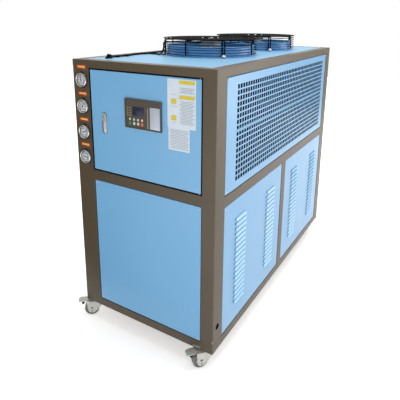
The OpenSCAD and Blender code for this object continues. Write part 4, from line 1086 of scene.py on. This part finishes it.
bm = made(plate, rounded_rect(125, 183, 1, LARGE_U, 1022), DOOR_FACE, CARD_W)
plate(bm, rounded_rect(95, 92, 1, SMALL_U, 887), DOOR_FACE, CARD_W - 0.1)
piece("service_cards", bm, card_white, "panel_blue", body="door", place=FRONT)
heads = [bar(PRINT_U, v, 67, 14) for v in (1103, 1048)] + [bar(PATCH_U, v, 24, 20) for v in (1030, 968)]
lines_v = [1082 - LINE * i for i in range(4)] + [1032 - LINE * i for i in range(16)]
lines = [bar(PRINT_U, v, 66 - 9 * (k % 3), 2) for k, v in enumerate(lines_v)]
lines += [bar(SMALL_U, 922 - 6 * i, 84 - 11 * (i % 4 == 3), 2, CARD_W - 0.1) for i in range(13)]
lines += [bar(PATCH_U, v, 26, 1.2) for v in (1056, 1012, 950)]
for name, bars, finish in (("card_header_bars", heads, card_yellow), ("card_rules", lines, card_grey)):
    set_out(name, made(block, -0.5, 0.5, -0.5, 0.5, -0.05, FILM), bars, finish, "panel_blue", body="door")

# Panel screws: pan heads with a dark cross recess
EDGE = 10.0
PAN_HEAD = [(0, -0.4), (4.2, -0.4), (4.2, 0.5), (3.6, 1.5), (2.2, 2.1), (0, 2.1)]


def recess_cross(bm):
    block(bm, -1.9, 1.9, -0.4, 0.4, 1.5, 2.16)
    block(bm, -0.4, 0.4, -1.9, 1.9, 1.5, 2.16)


def corners(u0, u1, v0, v1, *middles):
    """Corner places of a panel and any places between them."""
    return [(u, v) for u in (u0 + EDGE, u1 - EDGE) for v in (v0 + EDGE, v1 - EDGE)] + list(middles)


spots = [(FRONT, p, DOOR_FACE) for p in corners(-252, 290, 41, 635)]
spots += [(REAR, p, DOOR_FACE) for p in corners(-290, 290, 41, 635) + corners(-290, 290, 686, 1121)]
for side in SIDES.values():
    middles = ((0, GRILLE_V[1] - EDGE), (0, GRILLE_V[0] + EDGE))
    spots += [(side, p, DOOR_FACE) for p in corners(*GRILLE_U, *GRILLE_V, *middles)]
    for ends in PANEL_U:
        spots += [(side, p, DOOR_FACE) for p in corners(*ends, *LOUVRE_V)]
middles = ((-297, -230), (297, -230), (-297, 230), (297, 230))
spots += [(ROOF, p, 0.0) for p in corners(-307, 307, -689.5, 689.5, *middles)]
places = [face @ at(*p, w, 17 * k) for k, (face, p, w) in enumerate(spots)] + flange_screws
set_out("panel_screws", made(lathe, PAN_HEAD, turns=14), places, screw_zinc, "zinc")
set_out("panel_screw_recesses", made(recess_cross), places, black_ink, "zinc")

# Pipe stubs through the rear panel, as (height, radius, bore, free length)
PORTS = {"water_outlet": (520, 24.15, 20.5, 45), "water_inlet": (330, 24.15, 20.5, 45),
         "tank_drain": (110, 10.65, 8.0, 35)}
PORT_U = 120.0
NUT = 9.0
THREAD = 2.0
for name, (v, radius, bore, free) in PORTS.items():
    spot = at(PORT_U, v, DOOR_FACE)
    end = NUT + free
    threads = []
    w = NUT + 5
    while w < end - 3:
        threads += [(radius, w), (radius - 0.9, w + THREAD / 2)]
        w += THREAD
    stub = [(bore, -30), (radius, -30), (radius, NUT + 4), *threads, (radius - 1, end), (bore + 0.8, end),
            (bore, end - 1)]
    bm = made(lathe, stub, spot, 40, closed=True)
    hex_r = radius * 1.32
    nut = [(radius - 0.5, 0), (hex_r - 1, 0), (hex_r, 0.8), (hex_r, NUT - 0.8), (hex_r - 1, NUT),
           (radius - 0.5, NUT)]
    lathe(bm, nut, spot, 6, closed=True)
    piece(name + "_threaded", bm, brass_turned, "brass_fitting", name, place=REAR)

# Casters, each in its own frame with the wheel trailing along u, as (side, end, turn)
CASTERS = {"front_left": (-1, -1, 220), "front_right": (1, -1, 233), "rear_left": (-1, 1, 225),
           "rear_right": (1, 1, 225)}
INSET = 42.0
WHEEL_R = 35.0
TRAIL = 38.0
FORK_V = 18.0
FORK_T = 2.5
FORK_OUT = FORK_V + FORK_T
FORK_TOP = 78.0
PLATE_T = 3.0
BOLT_U = 25.0
PEDAL_U, PEDAL_Z, PEDAL_L = 52.0, 68.0, 100.0
PEDAL_TOP = FORK_TOP + 4
ACROSS = rotation(90, "X")
AXLE = at(TRAIL, 0, WHEEL_R) @ ACROSS
TREAD = ([(20, -9), (25, -9), (30, -13)] + arc_points((31, -9), 4, -90, 0, 4)
         + arc_points((31, 9), 4, 0, 90, 4) + [(27, 13), (25, 9), (20, 9)])
HUB = [(4.2, -17), (10, -17), (11, -16), (12.5, -9.5), (14, -7), (24, -7), (26, -9.2), (26, 9.2), (24, 7),
       (14, 7), (12.5, 9.5), (11, 16), (10, 17), (4.2, 17)]
RACE = [(5.2, FORK_TOP - 4.5), (20, FORK_TOP - 4.5), (22, FORK_TOP - 2.6), (22, FORK_TOP), (5.2, FORK_TOP)]
SWIVEL = [(5, 78.4), (21, 78.4), (23, 80), (23, 84), (20, 85.5), (20, 87), (5, 87)]
KINGPIN = [(0, 72), (8, 72), (8, 75), (5, 75.2), (5, 86), (0, 86)]
FORK_SIDE = eased([(-24, 78), (-24, 68), (16, 26), (26, 17), (48, 17), (56, 28), (59, 58), (59, 78)], 9, 4)
TAB = [(-18, PEDAL_U - 2), (18, PEDAL_U - 2), (20, 70), (20, 88), (15, PEDAL_L), (-15, PEDAL_L), (-20, 88),
       (-20, 70)]


def fork(bm):
    for v in (FORK_V, -FORK_OUT):
        plate(bm, FORK_SIDE, -v - FORK_T, -v, 0.5, ACROSS)
    plate(bm, rounded_rect(72, 2 * FORK_OUT, 6, 12, 0), FORK_TOP - FORK_T, FORK_TOP, 0.6)
    lathe(bm, RACE, turns=36, closed=True)
    for v in (-FORK_OUT - 3, FORK_OUT):
        lathe(bm, [(0, 0), (6.4, 0), (6.4, 2.4), (5.8, 3), (0, 3)], at(TRAIL, v, WHEEL_R) @ ALONG_V, 6)
    lathe(bm, [(0, -20), (4, -20), (4, 20), (0, 20)], AXLE, 20)


# Black sheets on the fork's sides round the axle: painted shade where slots would show dark; no slot is cut
def axle_slots_painted_shade(bm):
    for v in (-FORK_OUT, FORK_OUT):
        plate(bm, rounded_rect(8, 25, 4, TRAIL, WHEEL_R), -v - 0.3, -v + 0.3, 0, ACROSS)


def hub(bm):
    lathe(bm, HUB, AXLE, 40, closed=True)
    for k in range(6):
        for w in (-9, 9):
            block(bm, 11, 25, -1.6, 1.6, w - 2.2, w + 0.6, AXLE @ rotation(60 * k))


def pedal(bm):
    plate(bm, [(v, -u) for u, v in eased(TAB, 5, 3)], PEDAL_TOP - 2, PEDAL_TOP, 0.5)
    block(bm, PEDAL_L - 2.2, PEDAL_L, -14, 14, PEDAL_TOP - 9, PEDAL_TOP - 1)
    for v in (-23, 21):
        block(bm, PEDAL_U - 6, PEDAL_U + 8, v, v + 2, PEDAL_Z - 6, PEDAL_TOP - 0.5)


def brake_block(bm):
    knob = at(PEDAL_U + 27, -10, PEDAL_Z - 1) @ ALONG_V
    lathe(bm, [(0, 0), (6, 0), (7, 1), (7, 19), (6, 20), (0, 20)], knob, 20)
    block(bm, PEDAL_U + 21, PEDAL_U + 27, -4, 4, PEDAL_Z, PEDAL_TOP - 1)


plates = bmesh.new()
plate_bolts = []
for name, (su, sv, turn) in CASTERS.items():
    spot = at(su * (WIDTH / 2 - INSET), sv * (DEPTH / 2 - INSET))
    place = TO_METRES @ spot @ rotation(turn)
    swivel, roller, brake = (name + part for part in ("_caster", "_roller", "_brake"))
    piece(name + "_fork_pressed", made(fork), zinc_plate, "zinc", name + "_fork", body=swivel, place=place)
    # Painted shade at the axle slots
    piece(name + "_axle_slots", made(axle_slots_painted_shade), black_ink, "zinc", body=swivel, place=place)
    piece(name + "_wheel_tread", made(lathe, TREAD, AXLE, 48, closed=True), tread_grey, "grey_wheel",
          name + "_wheel", body=roller, place=place)
    piece(name + "_wheel_hub", made(hub), hub_grey, "grey_wheel", body=roller, place=place)
    if name.startswith("front"):
        piece(name + "_pedal_pressed", made(pedal), zinc_plate, "zinc", name + "_pedal", body=brake,
              place=place)
        piece(name + "_brake_block", made(brake_block), sheath_black, "black_rubber", body=brake, place=place)
    plate_bolts += [(TO_METRES @ spot @ at(u, v, CASTER - PLATE_T) @ rotation(180, "X"), (0.8, 0.8, 0.7))
                    for u in (-BOLT_U, BOLT_U) for v in (-BOLT_U, BOLT_U)]
    plate(plates, rounded_rect(64, 64, 6), CASTER - PLATE_T, CASTER, 0.6, spot)
    lathe(plates, SWIVEL, spot, 40, closed=True)
    lathe(plates, KINGPIN, spot, 24)
set_out("caster_bolts", made(bolt_head), plate_bolts, screw_zinc, "zinc")
piece("caster_plates_pressed", plates, zinc_plate, "zinc", "caster_plates", place=TO_METRES)

# Pale floor and soft studio light, with white walls all round
ROOM_LIGHT = 0.46
ROOM_WALLS = 1.0
WHITE = (1, 1, 1, 1)
CARD_Z = 0.004
CARD_H = 2.5
TO_THE_RIGHT = (1, 0, 0)


def glow(finish, operation, inputs, near, far, low, high):
    """Makes a finish shine, from low at the near value of a measure of its place to high at the far one."""
    tree = finish.node_tree
    place = add(tree, "ShaderNodeTexCoord").outputs["Object"]
    measure = add(tree, "ShaderNodeVectorMath", {0: place, **inputs}, operation=operation)
    strength = add(tree, "ShaderNodeMapRange", {"Value": measure.outputs["Value"], "From Min": near,
                                                "From Max": far, "To Min": low, "To Max": high})
    feed(tree, tree.nodes["Principled BSDF"],
         {"Emission Color": WHITE, "Emission Strength": strength.outputs[0]})


def reflector(name, outline, along, *levels):
    """A card that only reflections see; its light changes in one direction."""
    finish = surface(name, "#050505", "#040404", 900, 20, 0.0, 0.9, Specular_IOR_Level=0.0)
    glow(finish, "DOT_PRODUCT", {1: along}, *levels)
    bm = bmesh.new()
    bm.faces.new([bm.verts.new(p) for p in outline])
    ob = plain_object(name, bm, finish, 30)
    ob.visible_camera = False
    ob.visible_diffuse = False
    ob.visible_shadow = False


def lying(*outline):
    return [(x, y, CARD_Z) for x, y in outline]


def standing(a, b, low, high):
    return [(*a, low), (*b, low), (*b, high), (*a, high)]


floor_white = surface("white_floor_paint", "#fbfbfa", "#f7f7f6", 900, 20, 0.0, 0.7)
glow(floor_white, "LENGTH", {}, 1.0, 3.2, 0.5, 1.0)
plain_object("floor", made(block, -9, 9, -9, 9, -0.02, 0), floor_white, 30)
reflector("white_card_in_front", lying((-4.5, -5.5), (1.5, -5.5), (1.5, -0.95), (-4.5, -0.95)),
          (1, -0.95, 0), 0.44, 1.88, 0.0, 2.6)
reflector("white_card_beside", lying((0.42, -0.9), (5, -0.9), (5, 8), (2.9, 8), (0.42, 0.35)),
          TO_THE_RIGHT, 0.5, 2.5, 1.3, 1.8)
reflector("upright_card_beside", standing((2.5, 4.2), (4.8, 1.8), 0.05, 2.2),
          TO_THE_RIGHT, 0.0, 5.0, 4.2, 4.2)
reflector("dim_card_left", standing((-5.2, -2.2), (-3.2, -5.2), 0, CARD_H),
          TO_THE_RIGHT, -5.0, 0.0, 0.35, 0.35)
reflector("dim_card_behind", standing((0.6, 5), (2.6, 4.3), 0, CARD_H), TO_THE_RIGHT, 0.0, 5.0, 0.45, 0.45)
world = bpy.data.worlds.new("studio")
world.use_nodes = True
room = world.node_tree
ray = add(room, "ShaderNodeLightPath")
bright = add(room, "ShaderNodeMath", {0: ray.outputs["Is Camera Ray"], 1: ray.outputs["Is Glossy Ray"]},
             operation="MAXIMUM")
strength = add(room, "ShaderNodeMapRange",
               {"Value": bright.outputs[0], "To Min": ROOM_LIGHT, "To Max": ROOM_WALLS})
feed(room, room.nodes["Background"], {"Color": WHITE, "Strength": strength.outputs[0]})
scene.world = world


def softbox(name, place, target, size, power):
    """A square area light that looks at a point."""
    light = bpy.data.lights.new(name, "AREA")
    light.energy = power
    light.size = size
    ob = linked(name, light)
    ob.location = place
    ob.rotation_mode = "QUATERNION"
    ob.rotation_quaternion = (Vector(target) - Vector(place)).to_track_quat("-Z", "Y")


softbox("key", (2.4, -2.1, 2.2), (0.2, -0.4, 0.7), 1.4, 12)
softbox("side", (3.6, 1.4, 2.2), (0.3, 0.3, 0.6), 2.4, 8)
softbox("overhead", (0.4, 0.3, 4.2), (0, 0, 0.6), 2.8, 140)
